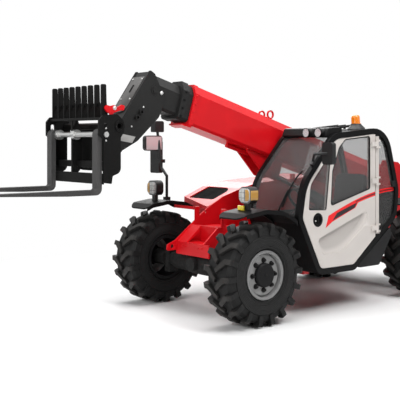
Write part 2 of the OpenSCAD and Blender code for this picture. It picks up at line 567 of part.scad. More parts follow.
module boom_head() at_gear() color(black) difference() {
    union() {
        for (y = [-head_hw, head_hw - 18]) slab(y, y + 18) polygon(rounded([[-470, 904, 16], [-129, 409, 20],
            [-155, 230, 80], [50, 20, 40], [10, -60, 36], [-140, 105, 20], [-316, 196, 30], [-571, 427, 60],
            [-608, 488, 30], [-640, 650, 30], [-528, 868, 10]]));
        slab(-head_hw + 6, head_hw - 6) polygon([[-492, 888], [-470, 888], [-136, 416], [-149, 407], [-478, 874],
            [-492, 874]]);
        slab(-head_hw + 6, head_hw - 6) polygon([[-550, 414], [-335, 219], [-325, 231], [-540, 426]]);
        rod_y(tilt_base[0], tilt_base[1], -head_hw - 14, head_hw + 14, 34);
        rod_y(tilt_base[0], tilt_base[1], head_hw - 1, head_hw + 6, 52);
        for (p = [[-353, 482], [-306, 428]]) rod_y(p[0], p[1], head_hw - 2, head_hw + 26, 24);
    }
    rod_y(0, 0, -head_hw - 1, head_hw + 1, 32 + run_gap);
    for (p = [[-353, 482], [-306, 428]]) rod_y(p[0], p[1], head_hw + 6, head_hw + 30, 15);
}
// cylinders
module lift_barrel() place() translate([lift_base[0], 0, lift_base[1]]) rotate([0, -lift_dir, 0]) color(black)
    difference() {
        union() {
            rotate([90, 0, 0]) cylinder(h = 150, r = 62, center = true);
            rotate([0, 90, 0]) cylinder(h = 1080, r = 72);
        }
        rotate([90, 0, 0]) cylinder(h = 200, r = 30 + run_gap, center = true);
        rotate([0, 90, 0]) translate([0, 0, 200]) cylinder(h = 1000, r = 42 + run_gap);
    }
module lift_rod() place() translate([lift_base[0], 0, lift_base[1]]) rotate([0, -lift_dir, 0]) color(steel)
    difference() {
        union() {
            rotate([0, 90, 0]) translate([0, 0, 420]) cylinder(h = lift_len - 420, r = 42);
            translate([lift_len, 0, 0]) rotate([90, 0, 0]) cylinder(h = 120, r = 46, center = true);
        }
        translate([lift_len, 0, 0]) rotate([90, 0, 0]) cylinder(h = 200, r = 28, center = true);
    }
module tilt_barrel() at_gear() translate([tilt_base[0], 0, tilt_base[1]]) rotate([0, -tilt_dir, 0]) color(grey)
    difference() {
        union() {
            rotate([90, 0, 0]) cylinder(h = 90, r = 52, center = true);
            rotate([0, 90, 0]) cylinder(h = 500, r = 52);
        }
        rotate([90, 0, 0]) cylinder(h = 200, r = 34 + run_gap, center = true);
        rotate([0, 90, 0]) translate([0, 0, 90]) cylinder(h = 600, r = 28 + run_gap);
    }
module tilt_rod() at_gear() translate([tilt_base[0], 0, tilt_base[1]]) rotate([0, -tilt_dir, 0]) color(steel)
    difference() {
        union() {
            rotate([0, 90, 0]) translate([0, 0, 165]) cylinder(h = tilt_len - 165, r = 28);
            translate([tilt_len, 0, 0]) rotate([90, 0, 0]) cylinder(h = 56, r = 40, center = true);
        }
        translate([tilt_len, 0, 0]) rotate([90, 0, 0]) cylinder(h = 200, r = 20, center = true);
    }

// hitch, carriage and forks
module coupler() at_gear() color(black) difference() {
    union() {
        along_x(60, 82) polygon(rounded([[-390, -90, 150], [390, -90, 150], [390, 370, 150], [-390, 370, 150]]));
        for (y = [-62, 32]) slab(y, y + 30) polygon(rounded([[82, -60, 10], [82, 270, 20], [-60, 265, 40],
            [-90, 180, 40], [-35, -50, 60]]));
        both() slab(head_hw + 8, head_hw + 30) polygon(rounded([[82, -75, 10], [82, 100, 10], [0, 80, 60],
            [-70, 0, 60], [0, -75, 60]]));
        rod_y(0, 0, -head_hw - 45, head_hw + 45, 32);
        rod_y(hook_x, hook_z, -carriage_hw - 2, carriage_hw + 2, 34);
        box([70, -230, hook_z - 30], [hook_x, 230, hook_z + 30]);
        rod_y(160, -20, -carriage_hw + 22, carriage_hw - 22, 30);
        box([70, -230, -45], [160, 230, 5]);
    }
    both() rod_y(hook_x, hook_z, carriage_hw - 80, carriage_hw + 10, 24);
}
module carriage() at_gear() color(black) difference() {
    union() {
        for (y = [-carriage_hw, carriage_hw - 22]) slab(y, y + 22) polygon(rounded([[305, -180, 15],
            [305, 215, 20], [355, 250, 15], [355, 385, 30], [315, 430, 20], [160, 445, 40], [85, 380, 60], [85, 280, 50],
            [122, 230, 10], [122, -90, 60], [210, -120, 20], [220, -192, 10]]));
        both() rod_y(hook_x, hook_z, carriage_hw - 2, carriage_hw + 10, 50);
        box([230, -carriage_hw + 20, 390], [320, carriage_hw - 20, 414]);
        box([290, -carriage_hw + 20, -195], [shank_x - fork_t - run_gap, carriage_hw - 20, -97]);
        slab(-87, -63) polygon(rounded([[304, -175, 10], [304, 392, 0], [240, 392, 0], [200, 280, 30],
            [200, -60, 30]]));
        slab(-carriage_hw + 10, carriage_hw - 10) polygon(rounded([[191, -50, 5], [250, -50, 5], [250, 10, 5],
            [191, 10, 5]]));
        along_x(286, 300) polygon([[-150, 392], [0, 392], [-75, 318]]);
    }
    rod_y(shaft_x, shaft_z, -2 * carriage_hw, 2 * carriage_hw, 25 + run_gap);
    rod_y(hook_x, hook_z, -2 * carriage_hw, 2 * carriage_hw, 34 + run_gap);
    both() slab(carriage_hw - 30, carriage_hw + 10) polygon(rounded([[263, 298, 18], [307, 298, 18],
        [307, 360, 18], [263, 360, 18]]));
}
module load_guard() at_gear() color(black) union() {
    for (i = [0:guard_bars - 1]) let (y = guard_hw * (2 * i / (guard_bars - 1) - 1))
        slab(y - 7, y + 7) polygon(rounded([[305, 414, 0], [305, guard_top, 15], [252, guard_top, 15],
            [248, 560, 20], [232, 414, 0]]));
    box([260, -guard_hw, 515], [272, guard_hw, 545]);
}
module fork_shaft() at_gear() color(steel) union() {
    rod_y(shaft_x, shaft_z, -carriage_hw - 10, carriage_hw + 10, 25);
    rod_y(shaft_x, shaft_z, -fork_span / 2 + fork_w + 5, -fork_span / 2 + fork_w + 49, 48);
    rod_y(shaft_x, shaft_z, -58, -10, 48);
}
module forks() at_gear() color(black) both() difference() {
    union() {
        slab(fork_span / 2 - fork_w, fork_span / 2) polygon(rounded([[shank_x, shaft_z + 3, 0],
            [shank_x, fork_top, 20], [tip_x, fork_top, 0], [tip_x, fork_top - 12, 0], [shank_x + 300, fork_low + 2, 0],
            [shank_x - fork_t, fork_low, 60], [shank_x - fork_t, shaft_z + 3, 0]]));
        rod_y(shaft_x + 22, shaft_z, fork_span / 2 - fork_w, fork_span / 2, 50);
    }
    rod_y(shaft_x, shaft_z, 0, fork_span, 25 + run_gap);
    for (s = [0, 1]) translate([tip_x, fork_span / 2 - s * fork_w, fork_low - 50])
        rotate([0, 0, s == 0 ? 168 : -168]) mirror([0, s == 0 ? 0 : 1, 0])
            translate([-20, -60, 0]) cube([250, 60, 200]);
}
lever_y = carriage_hw - 22 - run_gap;
module levers() at_gear() color(red) union() {
    both() slab(lever_y - 17, lever_y) polygon(rounded([[284, 500, 14], [263, 526, 14], [222, 517, 10],
        [178, 527, 12], [143, 508, 14], [97, 532, 12], [62, 521, 10], [74, 480, 8], [116, 478, 20],
        [190, 452, 10], [190, 402, 4], [225, 402, 4], [225, 445, 10], [258, 462, 20]]));
    rod_y(205, 500, -lever_y + 4, lever_y - 4, 9);
}
chassis();
counterweight();
engine();
fuel_tank();
oil_tank();
front_axle();
rear_axle();
engine_hood();
hood_grille();
front_fenders();
rear_fenders();
cab_frame();
cab_tub();
cab_roof();
cab_glass();
door();
door_glass();
seat();
controls();
lamps();
beacon();
mirrors();
boom_outer();
boom_mid();
boom_inner();
boom_head();
lift_barrel();
lift_rod();
tilt_barrel();
tilt_rod();
coupler();
carriage();
load_guard();
fork_shaft();
forks();
levers();
knuckle_fl();
knuckle_fr();
knuckle_rl();
knuckle_rr();
rim_fl();
rim_fr();
rim_rl();
rim_rr();
tyre_fl();
tyre_fr();
tyre_rl();
tyre_rr();
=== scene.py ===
"""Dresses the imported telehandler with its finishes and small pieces, and sets the studio round it."""
import math

import bpy
import bmesh
from mathutils import Matrix, Vector


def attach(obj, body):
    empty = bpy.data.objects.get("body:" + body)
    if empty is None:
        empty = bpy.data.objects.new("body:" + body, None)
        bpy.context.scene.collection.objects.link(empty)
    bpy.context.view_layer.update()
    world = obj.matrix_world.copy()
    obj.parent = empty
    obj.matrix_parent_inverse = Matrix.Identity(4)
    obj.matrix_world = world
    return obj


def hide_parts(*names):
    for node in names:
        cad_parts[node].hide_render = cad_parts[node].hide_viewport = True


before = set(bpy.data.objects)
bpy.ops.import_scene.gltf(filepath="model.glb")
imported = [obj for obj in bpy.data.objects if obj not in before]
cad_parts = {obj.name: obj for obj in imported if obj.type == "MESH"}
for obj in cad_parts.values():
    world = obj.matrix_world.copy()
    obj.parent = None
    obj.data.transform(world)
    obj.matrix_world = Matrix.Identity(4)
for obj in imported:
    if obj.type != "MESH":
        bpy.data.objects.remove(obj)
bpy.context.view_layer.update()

# Camera and picture, found from the wheels, forks and cab in the photograph
PICTURE = 400
CAMERA_PLACE = (5.784, 6.833, 1.838)
CAMERA_HEADING = math.radians(231.23)
FOCAL_PIXELS = 825.0
HORIZON_ROW = 138.8
SENSOR = 36.0

# Main places of the machine, in metres; lengths along it are given from the front axle, which is at FRONT_X
FRONT_X = 0.263
WHEELBASE = 2.660
HALF_TRACK = 0.808
AXLE_Z = 0.510
WHEELS = {"fl": (0, HALF_TRACK), "fr": (0, -HALF_TRACK),
          "rl": (-WHEELBASE, HALF_TRACK), "rr": (-WHEELBASE, -HALF_TRACK)}
CAB_LEFT = 0.950
BOOM_PIVOT = (-2.960, 1.380)
BOOM_ANGLE = math.radians(16.7)
BOOM_END = 3.307
TILT_PIN = (1.240, 1.620)
HEAD_SIDE = 0.128
HEAD_LAMP_Z = 1.2825
CARRIAGE_SIDE = 0.500
DISC_FACE = 0.136
HUB_FACE = DISC_FACE + 0.042
NUT_COUNT = 8
NUT_CIRCLE = 0.1455
SEAT_Y = 0.570
REAR_WALL = -3.210
HOOD_SIDE = -0.950

# The windscreen in side view: where its straight foot meets its bend, and the bend's middle and radius
SCREEN_BEND = (-0.519, 1.244)
SCREEN_LEAN = 0.183
SCREEN_GLASS = 0.010
SCREEN_MIDDLE = (-1.0105, 1.154)
SCREEN_RADIUS = 0.490

# Outlines on the left side of the cab: x, z and the radius of each corner
DOOR_WINDOW = [(-1.600, 1.288, 0.030), (-0.958, 1.128, 0.030), (-0.985, 1.500, 0.060),
               (-1.090, 1.750, 0.060), (-1.190, 1.836, 0.060), (-1.600, 1.872, 0.030)]
FRONT_WINDOW = [(-0.898, 1.092, 0.025), (-0.628, 1.105, 0.025), (-0.660, 1.370, 0.150),
                (-0.918, 1.650, 0.012), (-0.955, 1.560, 0.030)]
POCKET_RIM = [(-0.751, 0.795, 0.060), (-1.564, 1.063, 0.030), (-1.513, 0.898, 0.300),
              (-1.105, 0.637, 0.600), (-0.842, 0.629, 0.120)]
POCKET_FLOOR = [(-0.790, 0.800, 0.035), (-1.508, 1.037, 0.020), (-1.455, 0.925, 0.220),
                (-1.098, 0.712, 0.550), (-0.868, 0.704, 0.120)]
POCKET_DEPTH = 0.034
POCKET_STEPS = 12

# Studio: light from all round, and the ring in which the floor fades to white
AMBIENT = 0.15
FLOOR_FADE = (2.5, 4.8)


class Val:
    """A value inside a shader, for use in ordinary sums."""

    def __init__(self, finish, socket):
        self.finish = finish
        self.socket = socket

    def maths(self, kind, other=0.0, swapped=False):
        """A Math node on this value and another."""
        first, second = (other, self) if swapped else (self, other)
        return self.finish.node("ShaderNodeMath", {"operation": kind}, {0: first, 1: second})

    def __add__(self, other):
        return self.maths("ADD", other)

    def __sub__(self, other):
        return self.maths("SUBTRACT", other)

    def __rsub__(self, other):
        return self.maths("SUBTRACT", other, True)

    def __mul__(self, other):
        return self.maths("MULTIPLY", other)

    def __pow__(self, other):
        return self.maths("POWER", other)

    def __gt__(self, other):
        return self.maths("GREATER_THAN", other)

    def __lt__(self, other):
        return self.maths("LESS_THAN", other)

    __radd__ = __add__
    __rmul__ = __mul__

    def __abs__(self):
        return self.maths("ABSOLUTE")

    def least(self, other):
        """The smaller of two values."""
        return self.maths("MINIMUM", other)

    def clamped(self):
        """Held between 0 and 1."""
        return self.finish.node("ShaderNodeClamp", {}, {0: self})

    def step(self, low, high):
        """Rises smoothly from 0 at low to 1 at high."""
        settings = {"interpolation_type": "SMOOTHSTEP"}
        return self.finish.node("ShaderNodeMapRange", settings, {0: self, 1: low, 2: high})

    def within(self, low, high, soft=0.001):
        """1 between low and high, with soft ends."""
        return self.step(low - soft, low + soft) * (1.0 - self.step(high - soft, high + soft))


class Finish:
    """One material: its nodes, its main shader and short ways to fill them."""

    def __init__(self, name, **constants):
        self.material = bpy.data.materials.new(name)
        self.material.use_nodes = True
        self.tree = self.material.node_tree
        self.shader = self.tree.nodes["Principled BSDF"]
        self.set(**constants)

    def feed(self, socket, value):
        """Links a value to a socket, or sets a number there."""
        if isinstance(value, Val):
            self.tree.links.new(value.socket, socket)
        else:
            socket.default_value = value

    def node(self, kind, settings, inputs, output=0):
        """Any node: its settings first, then its sockets."""
        made = self.tree.nodes.new(kind)
        for key, value in settings.items():
            setattr(made, key, value)
        for key, value in inputs.items():
            self.feed(made.inputs[key], value)
        return Val(self, made.outputs[output])

    def set(self, **values):
        """Sockets by name, with _ for a blank: numbers are set, values are linked."""
        for name, value in values.items():
            self.feed(self.shader.inputs[name.replace("_", " ")], value)
        return self

    def place(self, centre=(0, 0, 0), scale=(1, 1, 1)):
        """Object coordinates, moved so that centre is the new zero and then stretched."""
        here = self.node("ShaderNodeTexCoord", {}, {}, output=3)
        moved = self.node("ShaderNodeVectorMath", {"operation": "SUBTRACT"}, {0: here, 1: centre})
        return self.node("ShaderNodeMapping", {"vector_type": "POINT"}, {0: moved, 3: scale})

    def axes(self, vector):
        """The three numbers of a vector."""
        split = self.node("ShaderNodeSeparateXYZ", {}, {0: vector}).socket.node
        return [Val(self, out) for out in split.outputs]

    def noise(self, scale, detail=3.0, rough=0.5, vector=None):
        """Cloudy pattern from 0 to 1."""
        inputs = {"Vector": vector or self.place(), "Scale": scale, "Detail": detail, "Roughness": rough}
        return self.node("ShaderNodeTexNoise", {}, inputs)

    def cells(self, scale):
        """Small rounded cells, darkest in their middles."""
        return self.node("ShaderNodeTexVoronoi", {"feature": "F1"}, {"Vector": self.place(), "Scale": scale})

    def mix(self, factor, first, second):
        """A blend of two colours."""
        return self.node("ShaderNodeMix", {"data_type": "RGBA"},
                         {0: factor, 6: rgba(first), 7: rgba(second)}, output=2)

    def bump(self, height, strength, distance=0.001):
        """Raises the surface by a pattern."""
        inputs = {"Strength": strength, "Distance": distance, "Height": height}
        return self.set(Normal=self.node("ShaderNodeBump", {}, inputs))


def rgba(colour):
    """A colour with full cover, unless it is a value already."""
    return colour if isinstance(colour, Val) else (*colour, 1.0)


def shade(colour, factor):
    """A colour made lighter or darker."""
    return tuple(min(1.0, c * factor) for c in colour)


# Colours of the finishes, linear
RED = (0.64, 0.005, 0.010)
CHARCOAL = (0.0150, 0.0148, 0.0147)
GEAR_BLACK = (0.0068, 0.0067, 0.0066)
IRON = (0.012, 0.012, 0.012)
PLASTIC = (0.0062, 0.0062, 0.0065)
FORK_GREY = (0.034, 0.033, 0.033)
COVER_GREY = (0.060, 0.057, 0.055)
DOOR_GREY = (0.60, 0.56, 0.53)
RUBBER = (0.0060, 0.0060, 0.0060)
LUG_BROWN = (0.026, 0.024, 0.0225)
SILVER = (0.29, 0.29, 0.288)
AMBER = (0.85, 0.22, 0.004)
TAIL_RED = (0.50, 0.006, 0.006)
STRIPE_RED = (0.80, 0.014, 0.016)
LENS_CLEAR = (0.62, 0.63, 0.64)


def dusty(f, colour, amount, dirt=(0.13, 0.12, 0.11)):
    """Colour with broad tone changes and a thin film of dust in the low places."""
    broad = f.noise(2.3, 4)
    speck = f.noise(38, 6, 0.65)
    height = f.axes(f.place())[2]
    film = ((1.0 - height.step(0.1, 1.6)) * 0.5 + 0.5) * speck.step(0.42, 0.78) * amount
    toned = f.mix(broad.step(0.3, 0.7), shade(colour, 0.90), shade(colour, 1.06))
    return f.mix(film.clamped(), toned, dirt)


def enamel(name, colour, rough, coat, dust, peel=0.05, gloss=0.4):
    """Sprayed paint with a little orange peel."""
    f = Finish(name, Coat_Weight=coat, Coat_Roughness=0.08, Specular_IOR_Level=gloss)
    patch = f.noise(5.5, 3)
    f.set(Base_Color=dusty(f, colour, dust), Roughness=rough + (patch - 0.5) * 0.12)
    return f.bump(f.noise(210, 2), peel, 0.0006)


def moulded(name, colour, rough, grain=0.16, gloss=0.14):
    """Grained moulded plastic."""
    f = Finish(name, Specular_IOR_Level=gloss)
    patch = f.noise(6, 3)
    f.set(Base_Color=dusty(f, colour, 0.03), Roughness=rough + (patch - 0.5) * 0.14)
    return f.bump(f.cells(620) * 0.7 + f.noise(900, 2) * 0.3, grain, 0.0005)


def seat_cloth():
    """Woven seat cover with a fine twill."""
    f = Finish("seat_cloth", Specular_IOR_Level=0.15)
    x, y, z = f.axes(f.place())
    twill = ((x + z) * 1400 + y * 700).maths("SINE") * 0.5 + 0.5
    threads = (y * 1600).maths("SINE") * 0.5 + 0.5
    weave = twill * 0.6 + threads * 0.4
    cloth = f.mix(weave, (0.010, 0.010, 0.011), (0.030, 0.030, 0.032))
    f.set(Base_Color=cloth, Roughness=0.86 + f.noise(12, 3) * 0.1)
    return f.bump(weave * 0.7 + f.noise(400, 3) * 0.3, 0.4, 0.0006)


def cast(name, colour):
    """Rough painted castings."""
    f = Finish(name, Specular_IOR_Level=0.12)
    f.set(Base_Color=dusty(f, colour, 0.16), Roughness=0.52 + f.noise(9, 4) * 0.22)
    return f.bump(f.noise(130, 5, 0.6), 0.22, 0.0012)


def bright_metal(name, colour, rough, along=(1, 1, 1)):
    """Machined or plated metal with fine marks."""
    f = Finish(name, Metallic=1.0)
    marks = f.noise(160, 4, 0.6, f.place(scale=along))
    toned = f.mix(f.noise(4, 3), shade(colour, 0.82), colour)
    f.set(Base_Color=toned, Roughness=rough + (marks - 0.5) * 0.16)
    return f.bump(marks, 0.05, 0.0004)


def stripe(f):
    """The two-tone stripe that rises from the door to the rear window: its red and its dark core.

    Its edges are lines and curves in x and z, from the front axle and the ground.
    """
    x, _, z = f.axes(f.place((FRONT_X, CAB_LEFT, 0)))
    run = x + 1.3
    top = ((run * 0.0647 - 0.1391) * run - 0.3070) * run + 1.1639
    thin_low = ((run * 0.1477 + 0.0169) * run - 0.2394) * run + 1.1258
    wedge_low = (0.6215 - x * 0.350).least(0.3876 - x * 0.587)
    under = 1.0 - (z - top).step(-0.001, 0.001)
    thin = (z > thin_low) * (x < -1.380) * (x > -2.045)
    wedge = (z > wedge_low) * (x > -0.4146 - z * 0.855) * (x < -0.5713 - z * 0.344)
    red = under * (thin + wedge).clamped()
    middle = abs(z - (top + thin_low) * 0.5)
    line = (middle < 0.0065) * (x < -1.360) * (x > -2.020)
    slope = (z > 0.649 - x * 0.3333) * (z < 0.7364 - x * 0.3015)
    core = slope * (x < -0.0716 - z * 0.936) * (x > -0.4653 - z * 0.797)
    return red, (line + core).clamped() * red


def pane(name, veil_grey, alpha, striped=False):
    """Grey-veiled glass, seen through."""
    f = Finish(name, Specular_IOR_Level=0.3, IOR=1.45)
    smear = f.noise(7, 5)
    haze = smear.step(0.55, 0.9) * 0.05
    veil = f.mix(smear, (veil_grey * 0.92,) * 3, (veil_grey * 1.06,) * 3)
    if not striped:
        return f.set(Base_Color=veil, Alpha=alpha + (smear - 0.5) * 0.03, Roughness=0.02 + haze)
    red, core = stripe(f)
    side = f.axes(f.place((FRONT_X, CAB_LEFT, 0)))[1] > -0.040
    painted = f.mix(core * side, f.mix(red * side, veil, STRIPE_RED), (0.02, 0.02, 0.022))
    return f.set(Base_Color=painted, Alpha=(red * side).maths("MAXIMUM", alpha), Roughness=0.03 + haze)


def lens(name, colour, cells):
    """Ribbed lamp lens."""
    f = Finish(name, Coat_Weight=0.6, Coat_Roughness=0.03, Specular_IOR_Level=0.6)
    ribs = f.cells(cells)
    tinted = f.mix(ribs.step(0.1, 0.7), shade(colour, 0.75), shade(colour, 1.1))
    f.set(Base_Color=tinted, Roughness=0.08 + ribs * 0.1)
    return f.bump(ribs, 0.3, 0.001)


def led_lens():
    """Clear lamp front with two rows of square reflectors behind it."""
    f = Finish("led_lens", Coat_Weight=0.5, Coat_Roughness=0.03, Specular_IOR_Level=0.5)
    lamp_y = 0.757
    _, y, z = f.axes(f.place((FRONT_X, 0, HEAD_LAMP_Z)))
    across = abs(((abs(y) - lamp_y) * 70).maths("SINE"))
    upright = abs((z * 62).maths("COSINE"))
    cup = across.step(0.10, 0.30) * upright.step(0.08, 0.26)
    facets = f.mix(f.cells(160), (0.24, 0.24, 0.23), (0.80, 0.80, 0.78))
    f.set(Base_Color=f.mix(cup, (0.16, 0.16, 0.16), facets), Roughness=0.10 + f.noise(40, 2) * 0.05)
    return f.bump(cup, 0.4, 0.002)


def cab_black():
    """Gloss black of the cab's hoops, with the hinge post in the door's grey."""
    f = Finish("cab_frame_black", Specular_IOR_Level=0.08, Coat_Roughness=0.08, Coat_Weight=0.04)
    x, y, z = f.axes(f.place((FRONT_X, CAB_LEFT, 0)))
    post = x.within(-1.754, -1.694) * (y > -0.056) * z.within(0.790, 1.866)
    knuckle = (y > 0.001) * (x < -1.60)
    black = dusty(f, (0.0042, 0.0042, 0.0045), 0.01)
    coloured = f.mix((post + knuckle).clamped(), black, DOOR_GREY)
    f.set(Base_Color=coloured, Roughness=0.32 + f.noise(5.5, 3) * 0.08)
    return f.bump(f.noise(210, 2), 0.04, 0.0006)


def lamp_housing():
    """Black lamp bodies with clear, amber and red lenses where their faces are."""
    f = Finish("lamp_housing", Specular_IOR_Level=0.4)
    x, y, z = f.axes(f.place((FRONT_X, 0, 0)))
    wide = abs(y)
    head = x > -0.3
    work = z > 1.80
    rear = x < -2.0
    clear = (head * x.step(0.0955, 0.0975) + work * x.step(-0.9135, -0.9125)).clamped()
    amber = (head * (wide > 0.868) + rear * (x < -2.890) * (wide < 0.775)).clamped()
    tail = rear * (x < -2.890) * (wide > 0.785)
    ribs = f.cells(95)
    base = f.mix(clear, PLASTIC, f.mix(ribs.step(0.1, 0.7), shade(LENS_CLEAR, 0.6), LENS_CLEAR))
    base = f.mix(tail, f.mix(amber, base, (0.46, 0.25, 0.055)), TAIL_RED)
    lit = (clear + amber + tail).clamped()
    f.set(Base_Color=base, Roughness=0.42 - lit * 0.32 + f.noise(9, 3) * 0.06, Coat_Weight=lit * 0.6)
    return f.bump(ribs * lit, 0.25, 0.001)


def beacon_dome():
    """Amber dome on a black foot."""
    f = Finish("beacon_dome", Specular_IOR_Level=0.5, Emission_Strength=0.25)
    z = f.axes(f.place())[2]
    dome = z.step(2.004, 2.008)
    ribs = (z * 900).maths("SINE") * 0.5 + 0.5
    amber = f.mix(ribs, shade(AMBER, 0.7), AMBER)
    f.set(Base_Color=f.mix(dome, PLASTIC, amber), Roughness=0.45 - dome * 0.33 + f.noise(8, 3) * 0.05,
          Emission_Color=f.mix(dome, (0, 0, 0), AMBER), Coat_Weight=dome * 0.5)
    return f.bump(ribs * dome, 0.2, 0.001)


def mirror_case():
    """Black grained mirror cases with silvered glass in their faces."""
    f = Finish("mirror_case", Specular_IOR_Level=0.35)
    x, y, z = f.axes(f.place((FRONT_X, 0, 0)))
    left = (y > 1.0) * y.within(1.042, 1.158) * z.within(1.587, 1.788) * (x < -0.7965)
    tall = y.within(-1.158, -1.007) * z.within(1.448, 1.800) * (x < -0.2045)
    round_glass = y.within(-0.9506, -0.9494, 0.0003) * x.within(-0.156, 0.060) * z.within(1.712, 1.864)
    glass = (left + tall + round_glass).clamped()
    f.set(Base_Color=f.mix(glass, PLASTIC, (0.72, 0.74, 0.76)), Metallic=glass * 0.4,
          Roughness=0.46 - glass * 0.42 + f.noise(7, 3) * 0.04)
    return f.bump(f.cells(620) * (1.0 - glass), 0.16, 0.0005)


def wheel_radius(f, key):
    """Distance from a wheel's axle, and place along it from the middle plane, outwards."""
    x, y = WHEELS[key]
    side = 1 if y > 0 else -1
    px, py, pz = f.axes(f.place((FRONT_X + x, y, AXLE_Z)))
    return (px * px + pz * pz) ** 0.5, py * side


def tyre_rubber(key):
    """Black rubber, browner on the lugs, with moulded rings on the walls."""
    f = Finish("tyre_rubber_" + key, Specular_IOR_Level=0.22)
    r, _ = wheel_radius(f, key)
    worn = r.step(0.470, 0.512) * (f.noise(9, 4).step(0.2, 0.8) * 0.5 + 0.5)
    dust = f.noise(55, 6, 0.6).step(0.5, 0.85) * 0.10
    base = f.mix(worn, RUBBER, LUG_BROWN)
    f.set(Base_Color=f.mix(dust, base, (0.07, 0.066, 0.062)), Roughness=0.48 + f.noise(20, 4) * 0.2)
    ribs = (r * 420).maths("SINE") * r.within(0.300, 0.360, 0.006) * 0.15
    ridges = r.within(0.381, 0.389, 0.002) + r.within(0.262, 0.270, 0.003) + r.within(0.286, 0.290, 0.002)
    return f.bump(ribs + ridges + f.noise(240, 3) * 0.06, 0.9, 0.010)


def rim_coat(key):
    """Silver rim with a bright lip, a dark hub, and painted shade that makes its inner side near-black."""
    f = Finish("rim_silver_" + key, Coat_Roughness=0.15, Specular_IOR_Level=0.10)
    r, y = wheel_radius(f, key)
    hub = 1.0 - r.step(0.1185, 0.1195)
    # Painted shade: the rim's inner side, deep within the wheel, is coloured near-black like the hub.
    inner = 1.0 - y.step(0.094, 0.098)
    dark = (hub + inner).clamped()
    tone = f.mix(f.noise(14, 4).step(0.3, 0.8), shade(SILVER, 0.88), SILVER)
    lip = r.step(0.213, 0.216) * (1.0 - dark)
    bright = f.mix(lip, tone, (0.20, 0.20, 0.20))
    f.set(Base_Color=f.mix(dark, bright, (0.008, 0.008, 0.0085)),
          Roughness=0.42 - lip * 0.16 + f.noise(60, 3) * 0.1,
          Metallic=lip * 0.5, Coat_Weight=0.2 - dark * 0.2)
    return f.bump(f.noise(190, 3), 0.06, 0.0006)


def door_paint():
    """Warm grey gel coat of the door, with its two-tone stripe, and painted shade that darkens the grey in
    the pocket and below the outer face.
    """
    f = Finish("door_grey", Coat_Weight=0.12, Coat_Roughness=0.12, Specular_IOR_Level=0.3)
    y = f.axes(f.place((FRONT_X, CAB_LEFT, 0)))[1]
    red, core = stripe(f)
    outside = y.within(-0.004, 0.004)
    even = f.mix(f.noise(1.6, 2), shade(DOOR_GREY, 0.985), shade(DOOR_GREY, 1.012))
    # Painted shade: the grey darkens with depth behind the door's outer face, in the pocket and on the
    # door's edges and inner side.
    grey = f.mix((1.0 - y.step(-0.034, -0.006)) * 0.6, even, shade(DOOR_GREY, 0.62))
    painted = f.mix(core * outside, f.mix(red * outside, grey, STRIPE_RED), (0.018, 0.018, 0.02))
    f.set(Base_Color=painted, Roughness=0.34 + f.noise(6, 3) * 0.05)
    return f.bump(f.noise(240, 2), 0.02, 0.0004)


def fork_paint():
    """Dark grey fork enamel, rubbed towards bare steel at the tips and heels."""
    f = Finish("fork_enamel", Specular_IOR_Level=0.3)
    x = f.axes(f.place((FRONT_X, 0, 0)))[0]
    rubbed = x.step(2.60, 2.79) * f.noise(24, 5, 0.6).step(0.48, 0.62) * 0.7
    shank = (1.0 - x.step(1.60, 1.66)) * 0.5
    base = f.mix(rubbed, dusty(f, FORK_GREY, 0.12), (0.26, 0.26, 0.26))
    f.set(Base_Color=f.mix(shank, base, (0.075, 0.074, 0.074)),
          Roughness=0.5 - rubbed * 0.12 + f.noise(12, 4) * 0.1, Metallic=rubbed * 0.8)
    return f.bump(f.noise(140, 4, 0.6), 0.1, 0.0008)


def make_finishes():
    """All finishes by their names."""
    made = {
        "red": enamel("red_enamel", RED, 0.34, 0.12, 0.02, 0.04, 0.22),
        "charcoal": enamel("charcoal_enamel", CHARCOAL, 0.46, 0.02, 0.05, 0.08, 0.16),
        "gear": enamel("gear_black", GEAR_BLACK, 0.42, 0.02, 0.04, 0.08, 0.08),
        "cover": enamel("cover_grey", COVER_GREY, 0.42, 0.10, 0.04, 0.06, 0.3),
        "plate": enamel("blank_plate_grey", (0.42, 0.41, 0.40), 0.35, 0.2, 0.02),
        "fork": fork_paint(),
        "iron": cast("axle_iron", IRON),
        "plastic": moulded("black_plastic", PLASTIC, 0.44, gloss=0.07),
        "roof_plastic": moulded("roof_plastic", shade(PLASTIC, 0.9), 0.36),
        "tank_plastic": moulded("tank_plastic", shade(PLASTIC, 2.2), 0.5),
        "rubber": moulded("seal_rubber", (0.007, 0.007, 0.0072), 0.6, 0.1, 0.2),
        "frame_black": cab_black(),
        "oxide": cast("black_oxide", (0.008, 0.008, 0.0085)),
        "mesh": moulded("grille_mesh", (0.005, 0.005, 0.0052), 0.75, 0.1, 0.05),
        "zinc": bright_metal("zinc_plate", (0.70, 0.70, 0.69), 0.34),
        "chrome": bright_metal("chrome_rod", (0.78, 0.78, 0.79), 0.12, (1, 30, 1)),
        "glass": pane("cab_pane", 0.125, 0.25, True),
        "door_glass": pane("door_pane", 0.22, 0.24),
        "amber": lens("amber_lens", (0.46, 0.25, 0.055), 130),
        "yellow": lens("yellow_marker", (0.86, 0.66, 0.012), 40),
        "led": led_lens(),
        "lamps": lamp_housing(),
        "beacon": beacon_dome(),
        "mirrors": mirror_case(),
        "seat": seat_cloth(),
        "door": door_paint(),
    }
    for key in WHEELS:
        made["tyre_" + key] = tyre_rubber(key)
        made["rim_" + key] = rim_coat(key)
    return made


def wear(names, finish):
    """Puts one finish on the named CAD nodes."""
    for name in names.split():
        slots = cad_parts[name].data.materials
        slots.clear()
        slots.append(finish.material)


